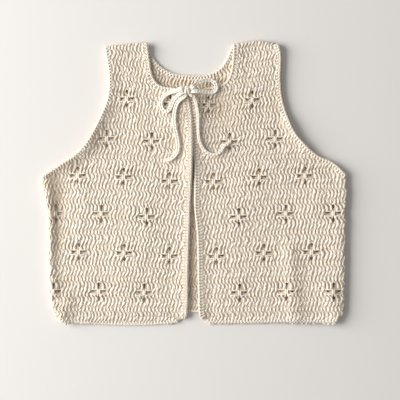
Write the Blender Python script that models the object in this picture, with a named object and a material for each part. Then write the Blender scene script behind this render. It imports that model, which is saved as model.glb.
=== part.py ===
"""A toddler's open-front vest, crocheted in cream cotton and laid flat with its face up.

The back lies on the resting surface with its right side down, and the two fronts lie on it.
At the side folds and the shoulders each front rolls round to meet the back.  Rows of stitches
stand up as low ridges, and flowers of four petal-shaped gaps are cut through the cloth.
Every free edge has a crocheted edging, and two ties make a bow at the neck.

Tables and named sizes are in millimetres, and the meshes are written in metres.
+X is to the right as seen from above, +Y towards the shoulders and +Z up.  The origin is on
the resting surface under the middle of the vest.
"""

import math
from bisect import bisect_right
from collections import namedtuple

import bmesh
import bpy
from mathutils import Vector
from mathutils.geometry import (
    delaunay_2d_cdt,
    intersect_line_line_2d,
    intersect_point_line,
)

MM = 0.001

# Cloth and clearances
CLOTH = 2.4              # thickness of the crocheted cloth
SEAM = 0.3               # clear gap between pieces that meet
ROW_RELIEF = 0.5         # how far the middle of a row stands above its edges
BAND_CROWN = 0.4         # how far an edging's middle stands above its sides
EDGE_STEP = 9.0          # spacing of points along an outline
CLOSE = 1.6              # an even point this near to a point that a roll needs is left out
ROW_STEP = 17.0          # spacing of points along a row of stitches
UNDER_STEP = 22.0        # spacing of points on a plain inner side
KEEP_CLEAR = 2.2         # least distance from a row's points to an edge or a gap
GAP_REACH = 12.0         # no petal-shaped gap is longer than this

# Widths of the crocheted edgings
OPENING_BAND = 6.0
NECK_BAND = 3.6
ARMHOLE_BAND = 4.0
HEM_BAND = 2.4

# Rolls where a front turns round into the back
ROLL_HEIGHT = 6.8        # outside height of the rolled side folds and shoulders
ROLL_RUN = 8.0           # how far in from a roll the front comes down to rest on the back
BACK_PEEK = {"left": -1.0, "right": 2.0}   # how far the back shows beyond each front armhole

# How the fronts settle on what is under them
REST = CLOTH + SEAM + CLOTH / 2            # middle of a front that lies close on the back
FLOOR_DROP = CLOTH + SEAM - 0.1            # how far a front's hem falls past the back's hem
DROP_RUN = 8.0
LAP_LIFT = 2.9                             # the left opening band climbs on to the right one
LAP_FROM = -8.0
LAP_FULL = 19.0
LAP_FLAT = 4.0
LAP_REACH = 17.0

# Outline of the vest, as points across and up.  Neighbouring edges share a corner.
Point = namedtuple("Point", "across up")

CORNERS = {
    "left": {
        "hem_side": Point(-149.0, -152.6),
        "underarm": Point(-168.4, 5.5),
        "shoulder_out": Point(-98.1, 150.2),
        "shoulder_in": Point(-51.9, 154.6),
        "neck_front": Point(-8.6, 101.6),
        "hem_front": Point(-12.6, -150.4),
    },
    "right": {
        "hem_side": Point(157.5, -153.4),
        "underarm": Point(168.0, 7.5),
        "shoulder_out": Point(92.0, 153.4),
        "shoulder_in": Point(43.2, 153.6),
        "neck_front": Point(-5.6, 99.6),
        "hem_front": Point(8.2, -150.2),
    },
}
SIDE_EDGE = {
    "left": (Point(-156.6, -136.0), Point(-160.4, -98.0), Point(-160.2, -46.0),
             Point(-165.0, -14.0)),
    "right": (Point(163.9, -143.0), Point(165.6, -105.0), Point(166.2, -58.0),
              Point(167.9, -8.0)),
}
ARMHOLE_EDGE = {
    "left": (Point(-147.6, 19.3), Point(-131.1, 30.3), Point(-116.8, 46.8), Point(-105.8, 66.6),
             Point(-96.5, 89.0), Point(-93.7, 112.8)),
    "right": (Point(152.7, 21.5), Point(136.2, 29.2), Point(119.7, 43.5), Point(107.6, 60.0),
              Point(97.5, 88.0), Point(94.4, 112.8), Point(95.2, 138.0)),
}
SHOULDER_EDGE = {
    "left": (Point(-75.0, 152.8),),
    "right": (Point(68.0, 156.8),),
}
FRONT_NECK = {
    "left": (Point(-49.4, 134.8), Point(-46.0, 117.0), Point(-37.6, 106.6), Point(-24.0, 103.6)),
    "right": (Point(42.6, 136.0), Point(40.0, 119.5), Point(33.5, 109.2), Point(20.0, 105.0)),
}
OPENING_EDGE = {
    "left": (Point(-4.6, 84.0), Point(-2.4, 62.0), Point(-2.4, 20.0), Point(-4.6, -25.0),
             Point(-6.8, -96.0), Point(-8.0, -143.3)),
    "right": (Point(-5.0, 80.0), Point(-2.2, 44.0), Point(0.7, 14.0), Point(0.4, -24.0),
              Point(3.6, -60.0), Point(4.5, -110.0), Point(5.6, -143.3)),
}
FRONT_HEM = {
    "left": (Point(-22.0, -154.2), Point(-60.0, -156.6), Point(-104.0, -155.7)),
    "right": (Point(17.4, -154.2), Point(50.0, -154.7), Point(94.0, -153.7), Point(130.0, -153.7)),
}
BACK_NECK = (Point(-48.6, 143.6), Point(-42.0, 132.6), Point(-32.1, 124.2), Point(-18.0, 118.9),
             Point(6.0, 117.9), Point(22.9, 121.6), Point(32.8, 130.4), Point(39.0, 143.0))
BACK_HEM = (Point(-100.0, -148.0), Point(0.0, -142.5), Point(105.0, -148.5))

# Height of the stitch rows.  A row counts up from the hem, and its middle sags at the opening.
RowLevel = namedtuple("RowLevel", "row up sag")
ROW_LEVELS = (
    RowLevel(0.0, -155.5, 0.5),
    RowLevel(4.5, -119.0, 3.0),
    RowLevel(9.5, -75.5, 5.5),
    RowLevel(14.5, -33.0, 8.0),
    RowLevel(19.5, 8.5, 7.5),
    RowLevel(24.5, 49.5, 6.0),
    RowLevel(29.5, 95.0, 9.5),
    RowLevel(37.0, 158.0, 9.5),
)
SAG_REACH = 60.0
ROWS = 37

# Flowers: the row they centre on, and on each panel the first one, their spacing and number
FlowerRow = namedtuple("FlowerRow", "row panel first step count")
FLOWER_ROWS = (
    FlowerRow(4.5, "left", -154.7, 50.0, 3),
    FlowerRow(9.5, "left", -126.7, 50.0, 3),
    FlowerRow(14.5, "left", -152.0, 50.0, 3),
    FlowerRow(19.5, "left", -127.8, 50.6, 3),
    FlowerRow(24.5, "left", -95.9, 49.5, 2),
    FlowerRow(29.5, "left", -73.9, 47.8, 2),
    FlowerRow(4.5, "right", 50.4, 51.4, 3),
    FlowerRow(9.5, "right", 25.1, 52.2, 3),
    FlowerRow(14.5, "right", 49.3, 51.9, 3),
    FlowerRow(19.5, "right", 21.8, 50.2, 3),
    FlowerRow(24.5, "right", 39.4, 50.0, 2),
    FlowerRow(29.5, "right", 16.3, 47.8, 2),
    FlowerRow(4.5, "back", -101.4, 50.7, 5),
    FlowerRow(9.5, "back", -126.8, 50.7, 6),
    FlowerRow(14.5, "back", -101.4, 50.7, 5),
    FlowerRow(19.5, "back", -126.8, 50.7, 6),
    FlowerRow(24.5, "back", -76.0, 50.7, 4),
    FlowerRow(29.5, "back", -76.0, 50.7, 4),
)

# Petals of a flower: a kite that points at the middle of the flower
Petal = namedtuple("Petal", "along_x along_y inner outer widest width")
PETALS = (
    Petal(0, 1, 4.0, 10.3, 7.8, 3.5),
    Petal(0, -1, 4.0, 10.3, 7.8, 3.5),
    Petal(1, 0, 2.9, 8.7, 6.2, 3.0),
    Petal(-1, 0, 2.9, 8.7, 6.2, 3.0),
)

# Soft folds that stand up in the fronts: a crest line, how wide it is and how high
Fold = namedtuple("Fold", "panel x_from y_from x_to y_to reach height")
FOLDS = (
    Fold("left", -150.0, 20.0, -121.0, 36.0, 8.0, 1.4),
    Fold("left", -117.0, 44.0, -100.0, 78.0, 9.0, 1.8),
    Fold("left", -146.0, -152.0, -138.0, -128.0, 8.0, 1.6),
    Fold("left", -78.0, -120.0, -58.0, -20.0, 20.0, 0.9),
    Fold("left", -50.0, 60.0, -78.0, 128.0, 16.0, 0.9),
    Fold("right", 106.0, 64.0, 124.0, 44.0, 9.0, 1.8),
    Fold("right", 106.0, -74.0, 110.0, -148.0, 7.0, 1.6),
    Fold("right", 150.0, -116.0, 155.0, -150.0, 8.0, 1.4),
    Fold("right", 44.0, -130.0, 62.0, -10.0, 20.0, 0.8),
    Fold("right", 52.0, 70.0, 74.0, 130.0, 15.0, 0.9),
)

# The bow: round cords on smooth routes.  A height of None lies on the cloth below.
CORD = 3.0
CORD_REST = 0.25         # clear gap between a cord and what it lies on
CORD_STEP = 2.0          # spacing of a tube's rings, in diameters
KNOT_MIDDLE = (-7.6, 101.0, 11.8)
KNOT_HALF = (4.2, 4.9, 3.1)
Leg = namedtuple("Leg", "turn rise")       # where a cord leaves the knot, in degrees
Route = namedtuple("Route", "across up height")
TIE_LOOP_LEFT = (
    Leg(168.0, 6.0),
    Route(-18.5, 100.6, 8.4),
    Route(-27.0, 98.4, None),
    Route(-33.6, 94.0, None),
    Route(-36.4, 87.0, None),
    Route(-34.6, 80.2, None),
    Route(-30.4, 77.6, None),
    Route(-26.6, 80.6, None),
    Route(-23.8, 87.2, None),
    Route(-20.6, 92.6, 8.2),
    Leg(208.0, -4.0),
)
TIE_LOOP_RIGHT = (
    Leg(30.0, 14.0),
    Route(2.6, 108.6, 9.6),
    Route(10.0, 113.0, 6.4),
    Route(17.4, 113.6, 5.2),
    Route(23.0, 109.4, 6.4),
    Route(24.6, 103.6, None),
    Route(22.6, 98.6, None),
    Route(16.4, 97.4, None),
    Route(8.6, 98.4, 7.6),
    Leg(348.0, 2.0),
)
TIE_TAIL_LEFT = (
    Leg(248.0, -10.0),
    Route(-13.6, 92.0, 9.2),
    Route(-18.6, 86.6, None),
    Route(-21.6, 76.0, None),
    Route(-21.4, 62.0, None),
    Route(-18.6, 49.0, None),
    Route(-17.4, 39.6, None),
    Route(-19.4, 32.0, None),
    Route(-24.8, 26.4, None),
    Route(-30.8, 24.2, None),
)
TIE_TAIL_RIGHT = (
    Leg(306.0, -6.0),
    Route(-0.4, 94.2, 9.0),
    Route(2.6, 85.0, None),
    Route(4.2, 74.0, None),
    Route(4.4, 60.0, None),
    Route(5.4, 48.0, None),
    Route(9.0, 38.6, None),
    Route(15.4, 32.4, None),
    Route(23.4, 30.8, None),
    Route(29.6, 34.4, None),
    Route(33.0, 40.2, None),
    Route(37.6, 42.4, None),
)

CREAM = (0.80, 0.71, 0.58)
CREAM_SHADE = (0.74, 0.65, 0.52)
CREAM_LIGHT = (0.87, 0.80, 0.69)


def clear_scene():
    for item in list(bpy.data.objects):
        bpy.data.objects.remove(item, do_unlink=True)


def cotton(name, color):
    """Matt cotton yarn of one shade."""
    material = bpy.data.materials.new(name)
    material.use_nodes = True
    shader = material.node_tree.nodes["Principled BSDF"]
    shader.inputs["Base Color"].default_value = (*color, 1.0)
    shader.inputs["Roughness"].default_value = 0.9
    shader.inputs["Metallic"].default_value = 0.0
    material.diffuse_color = (*color, 1.0)
    return material


def add_mesh(name, vertices, faces, color):
    """A closed mesh object in metres from vertices in millimetres."""
    shape = bmesh.new()
    corners = [shape.verts.new(Vector(vertex) * MM) for vertex in vertices]
    for face in faces:
        shape.faces.new([corners[index] for index in face])
    bmesh.ops.recalc_face_normals(shape, faces=shape.faces)
    mesh = bpy.data.meshes.new(name)
    shape.to_mesh(mesh)
    shape.free()
    mesh.shade_smooth()
    mesh.set_sharp_from_angle(angle=math.radians(50))
    item = bpy.data.objects.new(name, mesh)
    bpy.context.collection.objects.link(item)
    mesh.materials.append(cotton(name + "_cotton", color))
    return item


def ease(value):
    """0 below 0, 1 above 1 and a smooth step between."""
    value = min(1.0, max(0.0, value))
    return value * value * (3.0 - 2.0 * value)


def between(knots, value):
    """Straight-line value of a list of (position, value) pairs, level past its ends."""
    places = [knot[0] for knot in knots]
    index = bisect_right(places, value)
    if index == 0:
        return knots[0][1]
    if index == len(knots):
        return knots[-1][1]
    (low, first), (high, second) = knots[index - 1], knots[index]
    return first + (second - first) * (value - low) / (high - low)


# ---------------------------------------------------------------- smooth curves

def curve_point(points, span, share):
    """A point of the Catmull-Rom curve through the points, share of the way along a span."""
    last = len(points) - 1
    start, end = points[span], points[span + 1]
    before = points[span - 1] if span > 0 else start * 2 - end
    after = points[span + 2] if span + 2 <= last else end * 2 - start
    square = share * share
    cube = square * share
    return 0.5 * (start * 2 + (end - before) * share
                  + (before * 2 - start * 5 + end * 4 - after) * square
                  + (start * 3 - before - end * 3 + after) * cube)


def fine_curve(points, parts=20):
    """Closely spaced points of the curve, and where the given points come in them."""
    fine = [points[0]]
    for span in range(len(points) - 1):
        fine += [curve_point(points, span, part / parts) for part in range(1, parts + 1)]
    return fine, [span * parts for span in range(len(points))]


def spaced_curve(points, step, extra_start=(), extra_end=()):
    """Points along the curve about a step apart, with the given points among them.

    The extra distances are measured from the start and from the end of the curve.
    """
    fine, stops = fine_curve(points)
    run = [0.0]
    for first, second in zip(fine, fine[1:]):
        run.append(run[-1] + (second - first).length)
    wanted = []
    for first, second in zip(stops, stops[1:]):
        parts = max(1, round((run[second] - run[first]) / step))
        wanted += [run[first] + (run[second] - run[first]) * part / parts for part in range(parts)]
    extras = list(extra_start) + [run[-1] - distance for distance in extra_end]
    wanted = [place for place in wanted
              if place == 0.0 or all(abs(place - extra) > CLOSE for extra in extras)]
    wanted = sorted(wanted + extras) + [run[-1]]
    result = []
    for place in wanted:
        index = min(bisect_right(run, place), len(fine) - 1)
        share = (place - run[index - 1]) / (run[index] - run[index - 1])
        result.append(fine[index - 1].lerp(fine[index], share))
    return result


# ---------------------------------------------------------------- rolled folds

ROLL_RADIUS = (ROLL_HEIGHT - CLOTH) / 2
ROLL_ARC = ROLL_RADIUS * math.pi / 2 - SEAM / 2
ROLL_STOPS = tuple(ROLL_ARC * part / 3 for part in (1, 2, 3))


def rolled(distance):
    """How far in from its edge cloth ends up, and the angle it has turned from level."""
    turn = max(0.0, ROLL_ARC - max(0.0, distance)) / ROLL_RADIUS
    if turn == 0.0:
        return distance + ROLL_HEIGHT / 2 - ROLL_ARC, 0.0
    return ROLL_HEIGHT / 2 - ROLL_RADIUS * math.sin(turn), turn


# ---------------------------------------------------------------- outlines

Edge = namedtuple("Edge", "name trim points")


class Outline:
    """A closed outline made of edges, each with the width of the edging along it."""

    def __init__(self, edges):
        self.points = []
        self.trims = []
        self.start = {}
        count = len(edges)
        for index, edge in enumerate(edges):
            starts_at_fold = edges[index - 1].trim == 0.0 and edge.trim > 0.0
            ends_at_fold = edges[(index + 1) % count].trim == 0.0 and edge.trim > 0.0
            samples = spaced_curve(
                [Vector(point) for point in edge.points],
                EDGE_STEP,
                ROLL_STOPS if starts_at_fold else (),
                ROLL_STOPS if ends_at_fold else (),
            )
            self.start[edge.name] = len(self.points)
            self.points += samples[:-1]
            self.trims += [edge.trim] * (len(samples) - 1)
        area = sum(a.x * b.y - b.x * a.y
                   for a, b in zip(self.points, self.points[1:] + self.points[:1]))
        self.inward = 1.0 if area > 0 else -1.0

    def side(self, index):
        """The inward normal of the segment that starts at a point."""
        first = self.points[index % len(self.points)]
        second = self.points[(index + 1) % len(self.points)]
        along = (second - first).normalized()
        return Vector((-along.y, along.x)) * self.inward

    def inset(self, index, before, after):
        """A point moved in, by its own distance from each of the two segments it joins."""
        index %= len(self.points)
        first, second = self.side(index - 1), self.side(index)
        cross = first.x * second.y - first.y * second.x
        if abs(cross) < 0.35:
            middle = (first + second).normalized()
            return self.points[index] + middle * (before + after) / 2 / middle.dot(first)
        return self.points[index] + Vector((
            (before * second.y - after * first.y) / cross,
            (after * first.x - before * second.x) / cross,
        ))

    def panel(self):
        """The outline of the cloth inside the edgings."""
        clear = [trim + SEAM if trim > 0 else 0.0 for trim in self.trims]
        return [self.inset(index, clear[index - 1], clear[index])
                for index in range(len(self.points))]


def front_outline(side):
    corner = CORNERS[side]
    return Outline((
        Edge("side", 0.0, (corner["hem_side"], *SIDE_EDGE[side], corner["underarm"])),
        Edge("armhole", ARMHOLE_BAND,
             (corner["underarm"], *ARMHOLE_EDGE[side], corner["shoulder_out"])),
        Edge("shoulder", 0.0,
             (corner["shoulder_out"], *SHOULDER_EDGE[side], corner["shoulder_in"])),
        Edge("neck", NECK_BAND, (corner["shoulder_in"], *FRONT_NECK[side], corner["neck_front"])),
        Edge("opening", OPENING_BAND,
             (corner["neck_front"], *OPENING_EDGE[side], corner["hem_front"])),
        Edge("hem", HEM_BAND, (corner["hem_front"], *FRONT_HEM[side], corner["hem_side"])),
    ))


def back_armhole(side):
    """The back's armhole edge, a little outside or inside the front's."""
    outward = -1.0 if side == "left" else 1.0
    shift = outward * BACK_PEEK[side]
    return tuple(Point(point.across + shift, point.up) for point in ARMHOLE_EDGE[side])


def back_outline():
    left, right = CORNERS["left"], CORNERS["right"]
    return Outline((
        Edge("side_left", 0.0, (left["hem_side"], *SIDE_EDGE["left"], left["underarm"])),
        Edge("armhole_left", ARMHOLE_BAND,
             (left["underarm"], *back_armhole("left"), left["shoulder_out"])),
        Edge("shoulder_left", 0.0,
             (left["shoulder_out"], *SHOULDER_EDGE["left"], left["shoulder_in"])),
        Edge("neck", NECK_BAND, (left["shoulder_in"], *BACK_NECK, right["shoulder_in"])),
        Edge("shoulder_right", 0.0,
             (right["shoulder_in"], *reversed(SHOULDER_EDGE["right"]), right["shoulder_out"])),
        Edge("armhole_right", ARMHOLE_BAND,
             (right["shoulder_out"], *reversed(back_armhole("right")), right["underarm"])),
        Edge("side_right", 0.0,
             (right["underarm"], *reversed(SIDE_EDGE["right"]), right["hem_side"])),
        Edge("hem", HEM_BAND, (right["hem_side"], *reversed(BACK_HEM), left["hem_side"])),
    ))


def edge_curve(points):
    return fine_curve([Vector(point) for point in points])[0]


SIDE_CURVE = {
    side: [(point.y, point.x) for point in edge_curve(
        (CORNERS[side]["hem_side"], *SIDE_EDGE[side], CORNERS[side]["underarm"]))]
    for side in ("left", "right")
}
SHOULDER_CURVE = {
    side: sorted((point.x, point.y) for point in edge_curve(
        (CORNERS[side]["shoulder_out"], *SHOULDER_EDGE[side], CORNERS[side]["shoulder_in"])))
    for side in ("left", "right")
}
OPENING_CURVE = {
    side: sorted((point.y, point.x) for point in edge_curve(
        (CORNERS[side]["neck_front"], *OPENING_EDGE[side], CORNERS[side]["hem_front"])))
    for side in ("left", "right")
}
BACK_HEM_CURVE = [(point.x, point.y) for point in edge_curve(
    (CORNERS["left"]["hem_side"], *BACK_HEM, CORNERS["right"]["hem_side"]))]
SHOULDERS_ABOVE = 118.0     # only the straps reach above this height


# ---------------------------------------------------------------- where the cloth lies

Spot = namedtuple("Spot", "middle outward")


def opening_distance(side, x, y):
    """How far in from its front's opening edge a point lies."""
    edge = between(OPENING_CURVE[side], y)
    return edge - x if side == "left" else x - edge


def hem_fall(x, y):
    """0 over the back and 1 where a front's hem has come down to the floor beyond it."""
    overhang = between(BACK_HEM_CURVE, x) - y
    return ease((overhang - 0.5) / DROP_RUN)


def folds_at(side, x, y):
    """The height of the soft folds at a point of a front."""
    height = 0.0
    spot = Vector((x, y))
    for fold in FOLDS:
        if fold.panel != side:
            continue
        start, end = Vector((fold.x_from, fold.y_from)), Vector((fold.x_to, fold.y_to))
        nearest, share = intersect_point_line(spot, start, end)
        if share < 0.0:
            nearest = start
        elif share > 1.0:
            nearest = end
        away = (spot - nearest.to_2d()).length / fold.reach
        height += fold.height * math.exp(-away * away)
    return height


def front_height(side, x, y, in_from_fold):
    """The middle of a front's cloth where it isn't rolled."""
    crest = ROLL_HEIGHT - CLOTH / 2
    from_opening = opening_distance(side, x, y)
    lift = 0.0
    if side == "left":
        lift = LAP_LIFT * ease((y - LAP_FROM) / (LAP_FULL - LAP_FROM))
        lift *= 1.0 - ease((from_opening - LAP_FLAT) / (LAP_REACH - LAP_FLAT))
    falls = hem_fall(x, y)
    soft = folds_at(side, x, y) * ease(from_opening / LAP_REACH) * (1.0 - falls)
    soft *= ease(in_from_fold / ROLL_RUN)
    beside_roll = math.exp(-((in_from_fold - ROLL_ARC) / ROLL_RUN) ** 2)
    flat = REST + soft + lift - FLOOR_DROP * falls
    return flat + (crest - flat) * beside_roll


def lay(layer, x, y):
    """Where a point of a panel's pattern lies, and which way its right side faces there.

    The layer is left or right for a front, or back.
    """
    side = layer
    if layer == "back":
        side = "left" if x < 0 else "right"
    outward = -1.0 if side == "left" else 1.0
    facing = -1.0 if layer == "back" else 1.0
    from_side = (between(SIDE_CURVE[side], y) - x) * outward
    from_shoulder = math.inf
    if y > SHOULDERS_ABOVE:
        from_shoulder = between(SHOULDER_CURVE[side], x) - y
    nearest = min(from_side, from_shoulder)
    inward, turn = rolled(nearest)
    shift = nearest - inward
    at_side = from_side <= from_shoulder
    direction = Vector((outward, 0.0, 0.0)) if at_side else Vector((0.0, 1.0, 0.0))
    place = Vector((x, y, 0.0)) + direction * shift
    if turn > 0.0:
        place.z = ROLL_HEIGHT / 2 + facing * ROLL_RADIUS * math.cos(turn)
    elif layer == "back":
        place.z = CLOTH / 2
    else:
        place.z = front_height(side, x, y, nearest)
    return Spot(place, direction * math.sin(turn) + Vector((0.0, 0.0, facing * math.cos(turn))))


def lay_out(layer, point, height):
    """A pattern point's place, moved out from the middle of the cloth by a height."""
    spot = lay(layer, point.x, point.y)
    return spot.middle + spot.outward * height


# ---------------------------------------------------------------- rows and flowers

def row_height(row, x):
    """How far up a row's line runs at a point across."""
    up = between([(level.row, level.up) for level in ROW_LEVELS], row)
    sag = between([(level.row, level.sag) for level in ROW_LEVELS], row)
    return up - sag * math.exp(-(x / SAG_REACH) ** 2)


def petal_gaps(panel, outline):
    """The gaps of a panel's flowers, each a kite of four corners."""
    gaps = []
    for flowers in FLOWER_ROWS:
        if flowers.panel != panel:
            continue
        for number in range(flowers.count):
            x = flowers.first + flowers.step * number
            middle = Vector((x, row_height(flowers.row, x)))
            for petal in PETALS:
                along = Vector((petal.along_x, petal.along_y))
                across = Vector((-along.y, along.x)) * petal.width / 2
                gap = [
                    middle + along * petal.inner,
                    middle + along * petal.widest - across,
                    middle + along * petal.outer,
                    middle + along * petal.widest + across,
                ]
                if all(edge_distance(corner, outline) > KEEP_CLEAR
                       and inside(corner, outline) for corner in gap):
                    gaps.append(gap)
    return gaps


def inside(point, outline):
    """Whether a point lies inside a closed outline."""
    found = False
    for first, second in zip(outline, outline[1:] + outline[:1]):
        if (first.y > point.y) != (second.y > point.y):
            cut = first.x + (point.y - first.y) * (second.x - first.x) / (second.y - first.y)
            if point.x < cut:
                found = not found
    return found


def edge_distance(point, outline):
    """How far a point is from a closed outline."""
    least = math.inf
    for first, second in zip(outline, outline[1:] + outline[:1]):
        along = second - first
        share = min(1.0, max(0.0, (point - first).dot(along) / along.length_squared))
        least = min(least, (point - first - along * share).length)
    return least


def clear_of(point, outline, gaps, margin):
    """Whether a point lies well inside the outline and away from every gap."""
    if not inside(point, outline) or edge_distance(point, outline) < margin:
        return False
    for gap in gaps:
        if (gap[0] - point).length < GAP_REACH:
            if inside(point, gap) or edge_distance(point, gap) < margin:
                return False
    return True


def crosses(start, end, loop):
    """Whether a straight line between two points meets a closed loop."""
    if len(loop) == 4 and (loop[0] - start).length > (end - start).length + GAP_REACH:
        return False
    return any(intersect_line_line_2d(start, end, first, second)
               for first, second in zip(loop, loop[1:] + loop[:1]))


def runs_of(points, outline, gaps, margin):
    """The points that are clear, in runs that never jump over an edge or a gap."""
    runs = [[]]
    previous = None
    for point in points:
        if clear_of(point, outline, gaps, margin):
            joined = previous is not None and not any(
                crosses(previous, point, loop) for loop in (outline, *gaps))
            if not joined and runs[-1]:
                runs.append([])
            runs[-1].append(point)
            previous = point
        else:
            previous = None
            if runs[-1]:
                runs.append([])
    return [run for run in runs if run]


# ---------------------------------------------------------------- cloth walls

def triangulate(loops, runs):
    """Corners and triangles that fill the first loop, without the others, along the runs."""
    corners = []
    edges = []
    for loop in loops:
        base = len(corners)
        corners += loop
        edges += [(base + index, base + (index + 1) % len(loop)) for index in range(len(loop))]
    for run in runs:
        base = len(corners)
        corners += run
        edges += [(base + index, base + index + 1) for index in range(len(run) - 1)]
    found, _, faces, origins, _, _ = delaunay_2d_cdt(corners, edges, [], 1, 1e-6)
    assert len(found) == len(corners), "lines of the pattern cross"
    own = [origin[0] for origin in origins]
    triangles = []
    for face in faces:
        triangle = [own[index] for index in face]
        middle = sum((corners[index] for index in triangle), Vector((0.0, 0.0))) / 3
        near = [loop for loop in loops[1:] if (loop[0] - middle).length < GAP_REACH]
        if not any(inside(middle, loop) for loop in near):
            triangles.append(triangle)
    return corners, triangles


def fold_runs(layer, outline, gaps):
    """Lines of pattern points that let the cloth turn at its rolled side folds."""
    runs = []
    sides = ("left", "right") if layer == "back" else (layer,)
    for side in sides:
        inward = 1.0 if side == "left" else -1.0
        levels = spaced_curve(
            [Vector(point) for point in
             (CORNERS[side]["hem_side"], *SIDE_EDGE[side], CORNERS[side]["underarm"])], EDGE_STEP)
        for stop in ROLL_STOPS:
            points = [Vector((point.x + inward * stop, point.y)) for point in levels[1:-1]]
            runs += runs_of(points, outline, gaps, ROLL_STOPS[0] / 2)
        shoulder = spaced_curve(
            [Vector(point) for point in (CORNERS[side]["shoulder_out"], *SHOULDER_EDGE[side],
                                         CORNERS[side]["shoulder_in"])], EDGE_STEP)
        for stop in ROLL_STOPS:
            points = [Vector((point.x, point.y - stop)) for point in shoulder]
            runs += runs_of(points, outline, gaps, ROLL_STOPS[0] / 2)
    return runs


def clear_of_rolls(layer, point):
    """Whether a point lies where the cloth isn't rolled."""
    side = layer
    if layer == "back":
        side = "left" if point.x < 0 else "right"
    outward = -1.0 if side == "left" else 1.0
    from_side = (between(SIDE_CURVE[side], point.y) - point.x) * outward
    from_shoulder = between(SHOULDER_CURVE[side], point.x) - point.y
    return min(from_side, from_shoulder) > ROLL_ARC + KEEP_CLEAR


def row_runs(layer, outline, gaps):
    """Points along the middle and the edge of every row, with how far out each stands."""
    low, high = min(point.x for point in outline), max(point.x for point in outline)
    columns = int((high - low) / ROW_STEP)
    runs = []
    outs = []
    for half in range(1, 2 * ROWS):
        shift = 0.5 if half % 2 else 0.0
        points = []
        for column in range(columns + 1):
            x = low + (column + shift) * (high - low) / columns
            point = Vector((x, row_height(half / 2, x)))
            if clear_of_rolls(layer, point):
                points.append(point)
        found = runs_of(points, outline, gaps, KEEP_CLEAR)
        out = 0.0 if half % 2 else -ROW_RELIEF
        runs += found
        outs += [out] * sum(len(run) for run in found)
    return runs, outs


def plain_runs(layer, outline, gaps):
    """A coarse spread of points for a plain side, and the line where a hem starts to fall."""
    low, high = min(point.x for point in outline), max(point.x for point in outline)
    bottom, top = min(point.y for point in outline), max(point.y for point in outline)
    across = int((high - low) / UNDER_STEP)
    upward = int((top - bottom) / UNDER_STEP)
    points = []
    runs = []
    for row in range(1, upward):
        for column in range(across + 1):
            x = low + (column + 0.5 * (row % 2)) * (high - low) / across
            y = bottom + row * (top - bottom) / upward
            point = Vector((x, y))
            if clear_of_rolls(layer, point) and clear_of(point, outline, gaps, KEEP_CLEAR * 2):
                points.append([point])
    if layer != "back":
        for beyond in (SEAM, DROP_RUN / 2):
            line = [Vector((low + (high - low) * column / (2 * across), 0.0))
                    for column in range(2 * across + 1)]
            for point in line:
                point.y = between(BACK_HEM_CURVE, point.x) - beyond
            line = [point for point in line if clear_of_rolls(layer, point)]
            runs += runs_of(line, outline, gaps, KEEP_CLEAR / 2)
        points = [run for run in points
                  if between(BACK_HEM_CURVE, run[0].x) + DROP_RUN < run[0].y]
    return runs + points


def cloth_wall(name, layer, outline, color):
    """A panel: a wall of even thickness, ridged on the fronts' right side and plain inside."""
    edge = outline.panel()
    gaps = petal_gaps(layer, edge)
    loops = [edge] + gaps
    folds = fold_runs(layer, edge, gaps)
    fixed = sum(len(loop) for loop in loops) + sum(len(run) for run in folds)
    plain = plain_runs(layer, edge, gaps)
    if layer == "back":
        ridges, outs = plain, [0.0] * sum(len(run) for run in plain)
    else:
        ridges, outs = row_runs(layer, edge, gaps)
    sides = (
        (CLOTH / 2, ridges, outs),
        (-CLOTH / 2, plain, [0.0] * sum(len(run) for run in plain)),
    )
    vertices = []
    faces = []
    bases = []
    for height, lines, offsets in sides:
        corners, triangles = triangulate(loops, folds + lines)
        base = len(vertices)
        bases.append(base)
        for index, corner in enumerate(corners):
            out = height
            if index >= fixed:
                out += offsets[index - fixed]
            vertices.append(lay_out(layer, corner, out))
        flip = height < 0
        faces += [[base + index for index in (reversed(triangle) if flip else triangle)]
                  for triangle in triangles]
    start = 0
    for loop in loops:
        count = len(loop)
        for index in range(count):
            this, following = start + index, start + (index + 1) % count
            faces.append([bases[0] + this, bases[0] + following, bases[1] + following])
            faces.append([bases[0] + this, bases[1] + following, bases[1] + this])
        start += count
    return add_mesh(name, vertices, faces, color)


# ---------------------------------------------------------------- edgings

def edging(name, layer, outline, first, last, color, from_corner=0.0, to_corner=0.0):
    """A crocheted band along the outline from the first edge to the end of the last.

    from_corner and to_corner hold its ends back from the edge that it meets there.
    """
    names = list(outline.start)
    count = len(outline.points)
    start = outline.start[first]
    after_last = names[(names.index(last) + 1) % len(names)]
    end = outline.start[after_last]
    if end <= start:
        end += count
    crown = 0.0 if layer == "back" else BAND_CROWN
    sections = []
    for index in range(start, end + 1):
        before = outline.trims[(index - 1) % count]
        after = outline.trims[index % count]
        outer = [0.0, 0.0]
        inner = [before, after]
        if index == start:
            outer[0] = inner[0] = from_corner
        if index == end:
            outer[1] = inner[1] = to_corner
        outside = outline.inset(index, *outer)
        within = outline.inset(index, *inner)
        middle = (outside + within) / 2
        section = [
            lay_out(layer, outside, -CLOTH / 2),
            lay_out(layer, outside, CLOTH / 2),
            lay_out(layer, within, CLOTH / 2),
            lay_out(layer, within, -CLOTH / 2),
        ]
        if crown:
            section.insert(2, lay_out(layer, middle, CLOTH / 2 + crown))
        sections.append(section)
    sides = len(sections[0])
    vertices = [vertex for section in sections for vertex in section]
    faces = []
    for index in range(len(sections) - 1):
        for side in range(sides):
            low, high = index * sides + side, index * sides + (side + 1) % sides
            faces.append([low, high, high + sides])
            faces.append([low, high + sides, low + sides])
    faces.append(list(range(sides)))
    faces.append(list(range(len(vertices) - sides, len(vertices))))
    return add_mesh(name, vertices, faces, color)


# ---------------------------------------------------------------- the bow

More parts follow.
